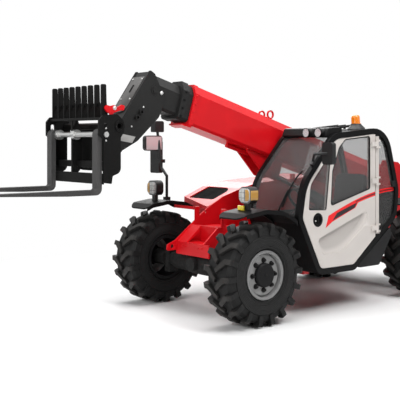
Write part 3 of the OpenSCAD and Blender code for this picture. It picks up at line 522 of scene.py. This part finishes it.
FINISH = make_finishes()
wear("chassis engine_hood boom_outer levers", FINISH["red"])
wear("boom_mid boom_inner boom_head lift_barrel tilt_barrel", FINISH["charcoal"])
wear("coupler carriage load_guard", FINISH["gear"])
wear("forks", FINISH["fork"])
wear("counterweight front_axle rear_axle knuckle_fl knuckle_fr knuckle_rl knuckle_rr engine", FINISH["iron"])
wear("fuel_tank front_fenders rear_fenders cab_tub controls", FINISH["plastic"])
wear("hood_grille", FINISH["mesh"])
wear("cab_roof", FINISH["roof_plastic"])
wear("oil_tank", FINISH["tank_plastic"])
wear("cab_frame", FINISH["frame_black"])
wear("fork_shaft", FINISH["zinc"])
wear("lift_rod tilt_rod", FINISH["chrome"])
wear("cab_glass", FINISH["glass"])
wear("door_glass", FINISH["door_glass"])
wear("beacon", FINISH["beacon"])
wear("lamps", FINISH["lamps"])
wear("mirrors", FINISH["mirrors"])
wear("seat", FINISH["seat"])
wear("door", FINISH["door"])
for wheel in WHEELS:
    wear("tyre_" + wheel, FINISH["tyre_" + wheel])
    wear("rim_" + wheel, FINISH["rim_" + wheel])


def close():
    """Leaves edit mode and selects nothing."""
    if bpy.context.object and bpy.context.object.mode != "OBJECT":
        bpy.ops.object.mode_set(mode="OBJECT")
    bpy.ops.object.select_all(action="DESELECT")


def block(size, place=(0, 0, 0), turn=(0, 0, 0)):
    """A box, open in edit mode."""
    close()
    bpy.ops.mesh.primitive_cube_add(size=1, location=place, rotation=turn)
    made = bpy.context.object
    made.scale = size
    bpy.ops.object.transform_apply(location=False, rotation=False, scale=True)
    bpy.ops.object.mode_set(mode="EDIT")
    return made


def bar(radius, length, place=(0, 0, 0), turn=(0, 0, 0), sides=32):
    """A round or many-sided bar along its own Z, open in edit mode."""
    close()
    bpy.ops.mesh.primitive_cylinder_add(vertices=sides, radius=radius, depth=length,
                                        location=place, rotation=turn)
    made = bpy.context.object
    bpy.ops.object.mode_set(mode="EDIT")
    return made


def pick_faces(made, test):
    """Selects the faces whose middle and normal pass the test."""
    bpy.ops.mesh.select_mode(type="FACE")
    bpy.ops.mesh.select_all(action="DESELECT")
    mesh = bmesh.from_edit_mesh(made.data)
    for face in mesh.faces:
        face.select_set(test(face.calc_center_median(), face.normal))
    mesh.select_flush_mode()
    bmesh.update_edit_mesh(made.data)


def pick_edges(made, test):
    """Selects the edges whose middle and direction pass the test."""
    bpy.ops.mesh.select_mode(type="EDGE")
    bpy.ops.mesh.select_all(action="DESELECT")
    mesh = bmesh.from_edit_mesh(made.data)
    for edge in mesh.edges:
        first, second = (v.co for v in edge.verts)
        edge.select_set(test((first + second) / 2, (second - first).normalized()))
    mesh.select_flush_mode()
    bmesh.update_edit_mesh(made.data)


def upright_edges(middle, way):
    """Passes the edges that run along the part's own Z."""
    return abs(way.z) > 0.9


def top_edges(middle, way):
    """Passes the edges round the part's upper end."""
    return middle.z > 0 and abs(way.z) < 0.5


def raise_top(made, inset, depth):
    """Insets the top face and lifts or sinks it, keeping it selected."""
    pick_faces(made, lambda middle, normal: normal.z > 0.9)
    bpy.ops.mesh.inset(thickness=inset, depth=depth)


def soften(made, offset, segments=3, test=lambda middle, way: True):
    """Rounds the edges that pass the test."""
    pick_edges(made, test)
    bpy.ops.mesh.bevel(offset=offset, segments=segments, affect="EDGES", clamp_overlap=True)


def settle(made):
    """Puts the part's place into its mesh."""
    close()
    made.select_set(True)
    bpy.context.view_layer.objects.active = made
    bpy.ops.object.transform_apply(location=True, rotation=True, scale=True)
    return made


def copies(made, moves):
    """The part again at each move, each copy with its own mesh; the pattern part is dropped."""
    settle(made)
    again = []
    for move in moves:
        other = made.copy()
        other.data = made.data.copy()
        other.data.transform(move)
        bpy.context.scene.collection.objects.link(other)
        again.append(other)
    bpy.data.objects.remove(made)
    return again


def fit(name, parts, finish, body, angle=32):
    """Joins the parts into one piece, gives it its finish and hangs it on its body."""
    for part in parts:
        settle(part)
    close()
    for part in parts:
        part.select_set(True)
    bpy.context.view_layer.objects.active = parts[0]
    if len(parts) > 1:
        bpy.ops.object.join()
    made = bpy.context.object
    made.name = name
    made.data.name = name
    bpy.ops.object.shade_smooth_by_angle(angle=math.radians(angle))
    made.data.materials.clear()
    made.data.materials.append(finish.material)
    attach(made, body)
    return made


def spot(x, y, z, way=(0, 0, 1), spin=0.0):
    """A move to a place given from the front axle, with the part's Z turned to a direction."""
    turned = Vector(way).to_track_quat("Z", "Y").to_matrix().to_4x4()
    return Matrix.Translation((x + FRONT_X, y, z)) @ turned @ Matrix.Rotation(spin, 4, "Z")


def hex_bolt(radius, height):
    """A washer under a chamfered hexagon head, standing on zero."""
    washer = bar(radius * 1.4, radius * 0.26, (0, 0, radius * 0.13), sides=20)
    soften(washer, radius * 0.08, 2, top_edges)
    settle(washer)
    head = bar(radius, height, (0, 0, radius * 0.26 + height / 2), sides=6)
    raise_top(head, radius * 0.16, radius * 0.12)
    settle(head)
    washer.select_set(True)
    bpy.context.view_layer.objects.active = head
    bpy.ops.object.join()
    return bpy.context.object


def wheel_nut():
    """A hexagon nut on its washer with the end of the stud."""
    nut = hex_bolt(0.0185, 0.020)
    bpy.ops.object.mode_set(mode="EDIT")
    pick_faces(nut, lambda middle, normal: normal.z > 0.9 and middle.z > 0.025)
    bpy.ops.mesh.inset(thickness=0.0050, depth=0.0)
    bpy.ops.mesh.inset(thickness=0.0004, depth=0.011)
    bpy.ops.mesh.inset(thickness=0.0022, depth=0.002)
    return nut


def wheel_trim(key):
    """Eight nuts on the disc, the hub's cover bolts and plug, and the valve."""
    x, y = WHEELS[key]
    side = 1 if y > 0 else -1

    def on_disc(radius, degrees, axial):
        """A move to a place on the wheel's face."""
        along = radius * math.cos(math.radians(degrees))
        up = radius * math.sin(math.radians(degrees))
        return spot(x + along, y + side * axial, AXLE_Z + up, (0, side, 0))

    places = [on_disc(NUT_CIRCLE, 360 / NUT_COUNT * i, DISC_FACE) for i in range(NUT_COUNT)]
    nuts = copies(wheel_nut(), places)
    fit("wheel_nuts_" + key, nuts, FINISH["oxide"], "wheel_" + key)
    bolts = copies(hex_bolt(0.0045, 0.003), [on_disc(0.092, 30 + 120 * i, HUB_FACE) for i in range(3)])
    plug = bar(0.017, 0.006, (0, 0, 0.003), sides=24)
    soften(plug, 0.002, 2, top_edges)
    raise_top(plug, 0.006, -0.003)
    bolts += copies(plug, [on_disc(0.0, 0.0, HUB_FACE)])
    valve = bar(0.0055, 0.030, (0, 0, 0.015), sides=12)
    raise_top(valve, -0.0015, 0.001)
    bpy.ops.mesh.inset(thickness=0.0003, depth=0.012)
    bpy.ops.mesh.inset(thickness=0.002, depth=0.002)
    bolts += copies(valve, [on_disc(0.203, 74, 0.110)])
    fit("hub_trim_" + key, bolts, FINISH["oxide"], "wheel_" + key)


for wheel in WHEELS:
    wheel_trim(wheel)


def rounded(points, steps=6):
    """An outline with its corners rounded: each point is x, z and a radius."""
    line = []
    for i, (x, z, r) in enumerate(points):
        here = Vector((x, z))
        back = (Vector(points[i - 1][:2]) - here).normalized()
        on = (Vector(points[(i + 1) % len(points)][:2]) - here).normalized()
        half = back.angle(on) / 2
        middle = here + (back + on).normalized() * (r / math.sin(half))
        first = here + back * (r / math.tan(half)) - middle
        last = here + on * (r / math.tan(half)) - middle
        bend = first.angle_signed(last)
        for k in range(steps + 1):
            line.append(middle + Matrix.Rotation(-bend * k / steps, 2) @ first)
    return line


def sheet_of(outline, y):
    """A flat face with this outline in the plane at y, open in edit mode."""
    close()
    bpy.ops.mesh.primitive_circle_add(vertices=len(outline), radius=1, fill_type="NGON")
    made = bpy.context.object
    bpy.ops.object.mode_set(mode="EDIT")
    mesh = bmesh.from_edit_mesh(made.data)
    for vertex, point in zip(mesh.verts, outline):
        vertex.co = (point[0] + FRONT_X, y, point[1])
    mesh.normal_update()
    bmesh.update_edit_mesh(made.data)
    pick_faces(made, lambda middle, normal: True)
    return made


def thicken(made, thickness, edge):
    """Gives a sheet its thickness and rounded edges."""
    close()
    bpy.context.view_layer.objects.active = made
    made.select_set(True)
    wall = made.modifiers.new("wall", "SOLIDIFY")
    wall.thickness = thickness
    wall.offset = 0
    bpy.ops.object.modifier_apply(modifier="wall")
    round_edge = made.modifiers.new("round_edge", "BEVEL")
    round_edge.width = edge
    round_edge.segments = 2
    round_edge.limit_method = "ANGLE"
    bpy.ops.object.modifier_apply(modifier="round_edge")
    bpy.ops.object.mode_set(mode="EDIT")
    bpy.ops.mesh.select_all(action="SELECT")
    bpy.ops.mesh.normals_make_consistent(inside=False)
    close()
    return made


def window_seal(points, y, width, thickness):
    """A rubber strip round the inside of a window."""
    strip = sheet_of(rounded(points), y)
    bpy.ops.mesh.inset(thickness=width, depth=0.0)
    bpy.ops.mesh.delete(type="FACE")
    return thicken(strip, thickness, 0.0025)


seals = [window_seal(DOOR_WINDOW, CAB_LEFT - 0.0075, 0.013, 0.014),
         window_seal(FRONT_WINDOW, CAB_LEFT - 0.0085, 0.006, 0.012)]
fit("window_seals", seals, FINISH["rubber"], "cab_door")


def door_shell():
    """The door with its deep pocket: a copy of the plain door, hollowed, that stands in for it."""
    close()
    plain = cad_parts["door"]
    shell = plain.copy()
    shell.data = plain.data.copy()
    bpy.context.scene.collection.objects.link(shell)
    shell.select_set(True)
    bpy.context.view_layer.objects.active = shell
    bpy.ops.object.mode_set(mode="EDIT")
    bpy.ops.mesh.select_all(action="SELECT")
    bpy.ops.mesh.remove_doubles(threshold=0.00002)
    rim = rounded(POCKET_RIM, POCKET_STEPS)
    hollow = sheet_of(rim, CAB_LEFT + 0.004)
    for depth, outline in ((0.004, rim), (POCKET_DEPTH, rounded(POCKET_FLOOR, POCKET_STEPS))):
        bpy.ops.mesh.extrude_region_move(TRANSFORM_OT_translate={"value": (0, -depth, 0)})
        mesh = bmesh.from_edit_mesh(hollow.data)
        for vertex in [v for v in mesh.verts if v.select]:
            here = Vector((vertex.co.x - FRONT_X, vertex.co.z))
            nearest = min(range(len(rim)), key=lambda i: (rim[i] - here).length)
            vertex.co.x = outline[nearest][0] + FRONT_X
            vertex.co.z = outline[nearest][1]
        bmesh.update_edit_mesh(hollow.data)
    bpy.ops.mesh.select_all(action="SELECT")
    bpy.ops.mesh.normals_make_consistent(inside=False)
    close()
    shell.select_set(True)
    bpy.context.view_layer.objects.active = shell
    cut = shell.modifiers.new("pocket", "BOOLEAN")
    cut.operation = "DIFFERENCE"
    cut.solver = "EXACT"
    cut.object = hollow
    bpy.ops.object.modifier_apply(modifier="pocket")
    bpy.data.objects.remove(hollow)
    fit("door_shell", [shell], FINISH["door"], "cab_door", 14)
    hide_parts("door")


door_shell()


def door_handle():
    """A black cup in the door's round recess, with a paddle across it and a lock."""
    out = (-math.pi / 2, 0, 0)
    cup = bar(0.0505, 0.015, (FRONT_X - 0.768, CAB_LEFT - 0.0095, 0.999), out, 40)
    soften(cup, 0.002, 2, top_edges)
    raise_top(cup, 0.006, 0.0)
    bpy.ops.mesh.inset(thickness=0.004, depth=-0.011)
    paddle = block((0.026, 0.078, 0.010), (FRONT_X - 0.776, CAB_LEFT - 0.007, 0.999), out)
    soften(paddle, 0.004, 3)
    fit("door_handle", [cup, paddle], FINISH["plastic"], "cab_door")
    lock = bar(0.0075, 0.006, (FRONT_X - 0.742, CAB_LEFT - 0.010, 0.988), out, 20)
    raise_top(lock, 0.0018, 0.0012)
    bpy.ops.mesh.inset(thickness=0.003, depth=-0.002)
    fit("door_lock", [lock], FINISH["zinc"], "cab_door")


door_handle()


def head_lamps():
    """Domed lenses and amber corner lenses on the two head lamps, and the marker below the left one."""
    ahead = (0, math.pi / 2, 0)
    domes = []
    corners = []
    for side in (1, -1):
        dome = block((0.118, 0.086, 0.010), (FRONT_X + 0.1125, side * 0.762, HEAD_LAMP_Z), ahead)
        soften(dome, 0.032, 5, lambda middle, way: abs(way.z) > 0.9 and middle.y * side < 0)
        raise_top(dome, 0.005, 0.003)
        bpy.ops.mesh.inset(thickness=0.012, depth=0.003)
        domes.append(dome)
        corner = block((0.114, 0.048, 0.010), (FRONT_X + 0.1105, side * 0.832, HEAD_LAMP_Z), ahead)
        soften(corner, 0.030, 5, lambda middle, way: abs(way.z) > 0.9 and middle.y * side > 0)
        raise_top(corner, 0.005, 0.003)
        corners.append(corner)
    fit("head_lamp_lenses", domes, FINISH["led"], "frame")
    fit("corner_lenses", corners, FINISH["amber"], "frame")
    marker = block((0.026, 0.085, 0.044), (FRONT_X + 0.100, 0.732, 1.1560))
    soften(marker, 0.006, 3, lambda middle, way: middle.z > 0 or abs(way.z) > 0.9)
    fit("front_marker", [marker], FINISH["yellow"], "frame")


head_lamps()


def work_lamp_rims():
    """Thin black rims round the two lamps on the visor."""
    rim = bar(0.050, 0.020, sides=36)
    pick_faces(rim, lambda middle, normal: abs(normal.z) > 0.9)
    bpy.ops.mesh.delete(type="FACE")
    close()
    rim.select_set(True)
    wall = rim.modifiers.new("wall", "SOLIDIFY")
    wall.thickness = 0.0035
    bpy.ops.object.modifier_apply(modifier="wall")
    bpy.ops.object.mode_set(mode="EDIT")
    soften(rim, 0.001, 2, lambda middle, way: abs(abs(middle.z) - 0.010) < 0.001 and abs(way.z) < 0.5)
    rims = copies(rim, [spot(-0.913, y, 1.903, (1, 0, 0)) for y in (0.640, 0.815)])
    fit("work_lamp_rims", rims, FINISH["plastic"], "frame")


work_lamp_rims()


def on_boom(along, across, up):
    """A place on the boom, measured from its pivot along and square to it."""
    cosine, sine = math.cos(BOOM_ANGLE), math.sin(BOOM_ANGLE)
    return (BOOM_PIVOT[0] + along * cosine - up * sine, across, BOOM_PIVOT[1] + along * sine + up * cosine)


def boom_bolts():
    """Bolts of the wear pads in the boom's collars and of the head's plates."""
    ups = (-0.300, -0.215, -0.130, -0.045)
    outer = []
    middle = []
    for side in (1, -1):
        outer += [spot(*on_boom(BOOM_END - 0.028, side * 0.156, up), (0, side, 0)) for up in ups]
        middle += [spot(*on_boom(BOOM_END + 0.112, side * 0.146, up), (0, side, 0)) for up in ups]
    fit("outer_boom_bolts", copies(hex_bolt(0.008, 0.006), outer), FINISH["red"], "outer_boom")
    fit("middle_boom_bolts", copies(hex_bolt(0.011, 0.008), middle), FINISH["oxide"], "middle_boom")
    pins = [spot(0.631, side * HEAD_SIDE, 2.298, (0, side, 0)) for side in (1, -1)]
    places = ((0.993, 1.958), (0.851, 2.152))
    small = [spot(x, side * HEAD_SIDE, z, (0, side, 0)) for side in (1, -1) for x, z in places]
    bolts = copies(hex_bolt(0.014, 0.010), pins) + copies(hex_bolt(0.0065, 0.005), small)
    fit("head_bolts", bolts, FINISH["zinc"], "inner_boom")


boom_bolts()


def head_cover():
    """The bolted cover on the sloping front of the boom head, and the blank plate on its side."""
    tilt = math.radians(54.7)
    along = Vector((math.cos(tilt), 0, -math.sin(tilt)))
    out = Vector((math.sin(tilt), 0, math.cos(tilt)))
    centre = Vector((TILT_PIN[0] - 0.303, 0, TILT_PIN[1] + 0.652)) + out * 0.006
    cover = block((0.440, 0.205, 0.010), (centre.x + FRONT_X, 0, centre.z), (0, tilt, 0))
    soften(cover, 0.085, 8, lambda middle, way: abs(way.z) > 0.9 and middle.x > 0)
    soften(cover, 0.015, 3, lambda middle, way: abs(way.z) > 0.9 and middle.x < -0.2)
    raise_top(cover, 0.004, 0.002)
    fit("head_cover", [cover], FINISH["cover"], "inner_boom")
    slot_place = centre + along * -0.070 + out * 0.009 + Vector((FRONT_X, 0, 0))
    slot = block((0.095, 0.024, 0.004), tuple(slot_place), (0, tilt, 0))
    soften(slot, 0.0115, 5, upright_edges)
    raise_top(slot, 0.003, -0.002)
    fit("cover_slot", [slot], FINISH["plastic"], "inner_boom")
    places = [(a, y) for a in (-0.190, 0.060) for y in (-0.080, 0.080)]
    moves = [spot(*(centre + along * a + out * 0.007 + Vector((0, y, 0))), out) for a, y in places]
    fit("cover_bolts", copies(hex_bolt(0.007, 0.005), moves), FINISH["zinc"], "inner_boom")
    blank = sheet_of([(1.128, 1.890), (0.950, 1.858), (0.989, 1.796), (1.128, 1.820)], HEAD_SIDE + 0.0022)
    fit("blank_plate", [thicken(blank, 0.003, 0.0008)], FINISH["plate"], "inner_boom")


head_cover()


def carriage_bolts():
    """Pin bolts of the carriage, the shaft and the levers."""
    large = [spot(TILT_PIN[0], side * (HEAD_SIDE + 0.0455), TILT_PIN[1], (0, side, 0)) for side in (1, -1)]
    small = []
    for side in (1, -1):
        small += [spot(1.521, side * CARRIAGE_SIDE, 1.877 + up, (0, side, 0)) for up in (0.055, -0.055)]
        large += [spot(1.415, side * 0.4777, 2.120, (0, side, 0))]
    bolts = copies(hex_bolt(0.014, 0.010), large) + copies(hex_bolt(0.006, 0.005), small)
    fit("carriage_bolts", bolts, FINISH["zinc"], "fork_carriage")


carriage_bolts()


def cushion(size, place, turn, grooves):
    """A crowned pad with rounded corners, sides pulled in and sewn channels across its face."""
    squareness = 7
    waist = 0.03
    crown = 0.014
    channel_width = 0.010
    channel_depth = 0.009
    pad = block(size, place, turn)
    bpy.ops.mesh.select_all(action="SELECT")
    bpy.ops.mesh.subdivide(number_cuts=21)
    mesh = bmesh.from_edit_mesh(pad.data)
    for vertex in mesh.verts:
        a, b, c = (2 * vertex.co[i] / size[i] for i in range(3))
        around = sum(abs(q) ** squareness for q in (a, b, c)) ** (1 / squareness)
        a, b, c = (q / around for q in (a, b, c))
        swell = max(0.0, (1 - a * a) * (1 - b * b))
        dips = [math.exp(-((a - g) * size[0] / 2 / channel_width) ** 2) for g in grooves]
        channel = sum(dips) * (1 - abs(b) ** 6)
        top = max(0.0, c)
        vertex.co = (a * size[0] / 2 * (1 - waist * (1 - b * b)),
                     b * size[1] / 2 * (1 - waist * (1 - a * a)),
                     c * size[2] / 2 + top * (swell * crown - channel * channel_depth))
    bmesh.update_edit_mesh(pad.data)
    close()
    bpy.context.view_layer.objects.active = pad
    pad.select_set(True)
    smooth = pad.modifiers.new("smooth", "SUBSURF")
    smooth.levels = 1
    smooth.render_levels = 1
    bpy.ops.object.modifier_apply(modifier="smooth")
    return pad


def driver_seat():
    """Two sewn pads on a moulded shell and a folded base."""
    lower = cushion((0.345, 0.445, 0.095), (FRONT_X - 1.412, SEAT_Y, 0.802),
                    (0, math.radians(-2.5), 0), (-0.35, 0.35))
    base = fit("seat_pad", [lower], FINISH["seat"], "frame", 80)
    upper = cushion((0.600, 0.440, 0.085), (FRONT_X - 1.690, SEAT_Y, 1.150),
                    (0, math.radians(-99), 0), (-0.45, 0.0, 0.45))
    back = fit("back_pad", [upper], FINISH["seat"], "frame", 80)
    shell = block((0.360, 0.430, 0.022), (FRONT_X - 1.430, SEAT_Y, 0.747))
    soften(shell, 0.009, 3)
    foot = block((0.240, 0.330, 0.276), (FRONT_X - 1.412, SEAT_Y, 0.598))
    pick_faces(foot, lambda middle, normal: normal.z < -0.9)
    bpy.ops.transform.resize(value=(0.25, 1.0, 1.0), center_override=(FRONT_X - 1.292, SEAT_Y, 0.46))
    soften(foot, 0.010, 3, lambda middle, way: abs(way.z) > 0.3)
    rest = fit("seat_shell", [shell, foot], FINISH["plastic"], "frame")
    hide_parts("seat")


driver_seat()


def bent_bar(points, radius, sides=10):
    """A round bar bent along the points, drawn out of a disc step by step."""
    close()
    bpy.ops.mesh.primitive_circle_add(vertices=sides, radius=radius, fill_type="NGON")
    made = bpy.context.object
    bpy.ops.object.mode_set(mode="EDIT")
    points = [Vector((x + FRONT_X, y, z)) for x, y, z in points]
    angles = [2 * math.pi * k / sides for k in range(sides)]
    circle = [Vector((radius * math.cos(a), radius * math.sin(a), 0)) for a in angles]
    rings = []
    for i, point in enumerate(points):
        way = points[min(i + 1, len(points) - 1)] - points[max(i - 1, 0)]
        turn = way.to_track_quat("Z", "Y")
        rings.append([point + turn @ corner for corner in circle])
    mesh = bmesh.from_edit_mesh(made.data)
    for vertex, place in zip(mesh.verts, rings[0]):
        vertex.co = place
    bmesh.update_edit_mesh(made.data)
    for before, ring in zip(rings, rings[1:]):
        bpy.ops.mesh.extrude_region_move()
        mesh = bmesh.from_edit_mesh(made.data)
        for vertex in [v for v in mesh.verts if v.select]:
            k = min(range(sides), key=lambda i: (before[i] - vertex.co).length)
            vertex.co = ring[k]
        bmesh.update_edit_mesh(made.data)
    bpy.ops.mesh.select_all(action="SELECT")
    bpy.ops.mesh.normals_make_consistent(inside=False)
    return made


def on_windscreen(z, y, proud):
    """A place that stands proud of the windscreen's bent face at a height."""
    if z < SCREEN_BEND[1]:
        return (SCREEN_BEND[0] + (SCREEN_BEND[1] - z) * SCREEN_LEAN - SCREEN_GLASS + proud, y, z)
    reach = SCREEN_RADIUS + proud
    rise = math.asin(min(1.0, (z - SCREEN_MIDDLE[1]) / reach))
    return (SCREEN_MIDDLE[0] + reach * math.cos(rise), y, z)


def screen_wiper():
    """A wiper on the windscreen: a bent blade, its arm and the spindle below."""
    blade_foot = 1.130
    blade_y = 0.700
    spindle_y = 0.655
    spindle_z = 1.075
    rises = [0.034 * i for i in range(12)]
    blade = bent_bar([on_windscreen(blade_foot + up, blade_y + up * 0.35, 0.008) for up in rises], 0.0075)
    arm = bent_bar([on_windscreen(spindle_z + up, spindle_y + up * 0.45, 0.020) for up in rises[:8]], 0.0085)
    spindle = bar(0.020, 0.030, (FRONT_X - 0.494, spindle_y, spindle_z), (0, math.radians(80), 0), 20)
    raise_top(spindle, 0.004, 0.004)
    bpy.ops.mesh.inset(thickness=0.006, depth=0.003)
    fit("screen_wiper", [blade, arm, spindle], FINISH["rubber"], "frame")


screen_wiper()


def hood_louvres():
    """A framed bank of slanted louvres on the right side of the engine cover."""
    middle_x = FRONT_X - 1.560
    count = 9
    pitch = 0.0235
    lowest = 0.806
    rim = block((0.620, 0.250, 0.014), (middle_x, HOOD_SIDE - 0.0045, 0.900), (math.pi / 2, 0, 0))
    soften(rim, 0.030, 4, upright_edges)
    raise_top(rim, 0.014, 0.0)
    bpy.ops.mesh.inset(thickness=0.002, depth=-0.009)
    slat = block((0.570, 0.026, 0.004), turn=(math.radians(90 - 38), 0, 0))
    soften(slat, 0.0015, 2)
    places = [(middle_x, HOOD_SIDE - 0.008, lowest + pitch * i) for i in range(count)]
    slats = copies(slat, [Matrix.Translation(place) for place in places])
    fit("hood_louvres", [rim] + slats, FINISH["plastic"], "hood")


hood_louvres()


def rear_panel():
    """A bolted black cover on the back of the frame."""
    cover = block((0.330, 0.300, 0.012), (FRONT_X + REAR_WALL - 0.006, -0.060, 0.930), (0, -math.pi / 2, 0))
    soften(cover, 0.020, 4, upright_edges)
    raise_top(cover, 0.006, 0.003)
    bpy.ops.mesh.inset(thickness=0.010, depth=-0.004)
    fit("rear_cover", [cover], FINISH["plastic"], "frame")
    corners = [(y, z) for y in (-0.185, 0.065) for z in (0.790, 1.070)]
    moves = [spot(REAR_WALL - 0.015, y, z, (-1, 0, 0)) for y, z in corners]
    fit("rear_cover_bolts", copies(hex_bolt(0.009, 0.007), moves), FINISH["zinc"], "frame")


rear_panel()


def small_trim():
    """Rubber stop on the rear window, tow pin, tank cap, hood latch and nose bolts."""
    stop = bar(0.034, 0.028, (FRONT_X - 2.007, CAB_LEFT - 0.0080, 1.332), (-math.pi / 2, 0, 0), 28)
    soften(stop, 0.005, 3, top_edges)
    raise_top(stop, 0.008, -0.006)
    fit("window_stop", [stop], FINISH["rubber"], "frame")

    pin = bar(0.0145, 0.150, (FRONT_X - 3.288, 0, 0.515), sides=24)
    soften(pin, 0.004, 2, lambda middle, way: middle.z < 0 and abs(way.z) < 0.5)
    raise_top(pin, -0.010, 0.0)
    bpy.ops.mesh.inset(thickness=0.0004, depth=0.012)
    bpy.ops.mesh.inset(thickness=0.004, depth=0.003)
    fit("tow_pin", [pin], FINISH["zinc"], "frame")

    cap = bar(0.046, 0.018, (FRONT_X - 1.000, -0.939, 0.492), (math.pi / 2, 0, 0), 24)
    raise_top(cap, 0.006, 0.004)
    bpy.ops.mesh.inset(thickness=0.012, depth=0.0)
    bpy.ops.mesh.inset(thickness=0.002, depth=0.010)
    fit("tank_cap", [cap], FINISH["plastic"], "frame")

    latch = block((0.090, 0.034, 0.016), (FRONT_X - 1.300, HOOD_SIDE - 0.0075, 0.740), (math.pi / 2, 0, 0))
    soften(latch, 0.008, 3, upright_edges)
    raise_top(latch, 0.006, -0.005)
    fit("hood_latch", [latch], FINISH["plastic"], "hood")

    nose = [spot(0.130, y, 0.690, (1, 0, 0)) for y in (-0.180, -0.120, 0.090, 0.150)]
    fit("nose_bolts", copies(hex_bolt(0.007, 0.006), nose), FINISH["red"], "frame")


small_trim()


def lamp(name, place, target, size, power):
    """A square soft lamp that faces its target."""
    data = bpy.data.lights.new(name, "AREA")
    data.size = size
    data.energy = power
    made = bpy.data.objects.new(name, data)
    bpy.context.scene.collection.objects.link(made)
    made.location = place
    made.rotation_mode = "QUATERNION"
    made.rotation_quaternion = (Vector(target) - Vector(place)).to_track_quat("-Z", "Y")


def studio():
    """White floor that keeps the shadow, white surroundings and large soft lamps."""
    scene = bpy.context.scene
    scene.view_settings.view_transform = "Standard"
    bpy.ops.object.select_all(action="DESELECT")
    bpy.ops.mesh.primitive_plane_add(size=240, location=(0, 0, 0))
    floor = bpy.context.object
    floor.name = "floor"
    f = Finish("floor_white", Base_Color=(0.93, 0.93, 0.93, 1.0), Roughness=0.9, Specular_IOR_Level=0.1)
    px, py, _ = f.axes(f.place())
    far = ((px * px + py * py) ** 0.5).step(*FLOOR_FADE)
    white = f.node("ShaderNodeEmission", {}, {0: (1, 1, 1, 1), 1: 1.0})
    seen = f.node("ShaderNodeLightPath", {}, {}, output=0)
    both = f.node("ShaderNodeMixShader", {}, {0: far * seen, 1: Val(f, f.shader.outputs[0]), 2: white})
    f.tree.links.new(both.socket, f.tree.nodes["Material Output"].inputs[0])
    floor.data.materials.append(f.material)

    world = bpy.data.worlds.new("studio")
    scene.world = world
    world.use_nodes = True
    nodes, links = world.node_tree.nodes, world.node_tree.links
    path = nodes.new("ShaderNodeLightPath")
    shown = path.outputs["Is Camera Ray"]
    for ray in ("Is Glossy Ray", "Is Transmission Ray"):
        either = nodes.new("ShaderNodeMath")
        either.operation = "MAXIMUM"
        links.new(shown, either.inputs[0])
        links.new(path.outputs[ray], either.inputs[1])
        shown = either.outputs[0]
    level = nodes.new("ShaderNodeMapRange")
    level.inputs["To Min"].default_value = AMBIENT
    level.inputs["To Max"].default_value = 1.0
    links.new(shown, level.inputs["Value"])
    links.new(level.outputs[0], nodes["Background"].inputs["Strength"])
    nodes["Background"].inputs["Color"].default_value = (1, 1, 1, 1)

    lamp("overhead", (-0.3, -0.7, 7.0), (0.0, 0.0, 0.0), 6.0, 500)
    lamp("front_left", (7.0, 3.0, 3.6), (0.0, 0.0, 1.2), 3.5, 300)
    lamp("left_side", (-1.4, 5.2, 7.0), (-0.8, 0.6, 0.9), 3.0, 350)
    lamp("back_right", (-5.0, -6.0, 5.0), (0.0, 0.0, 1.0), 4.0, 200)


def set_camera():
    """The camera of the photograph."""
    data = bpy.data.cameras.new("photo_view")
    data.sensor_width = SENSOR
    data.lens = FOCAL_PIXELS * SENSOR / PICTURE
    data.shift_y = (HORIZON_ROW - PICTURE / 2) / PICTURE
    made = bpy.data.objects.new("photo_view", data)
    bpy.context.scene.collection.objects.link(made)
    made.location = CAMERA_PLACE
    made.rotation_euler = (math.pi / 2, 0, CAMERA_HEADING - math.pi / 2)
    bpy.context.scene.camera = made


studio()
set_camera()
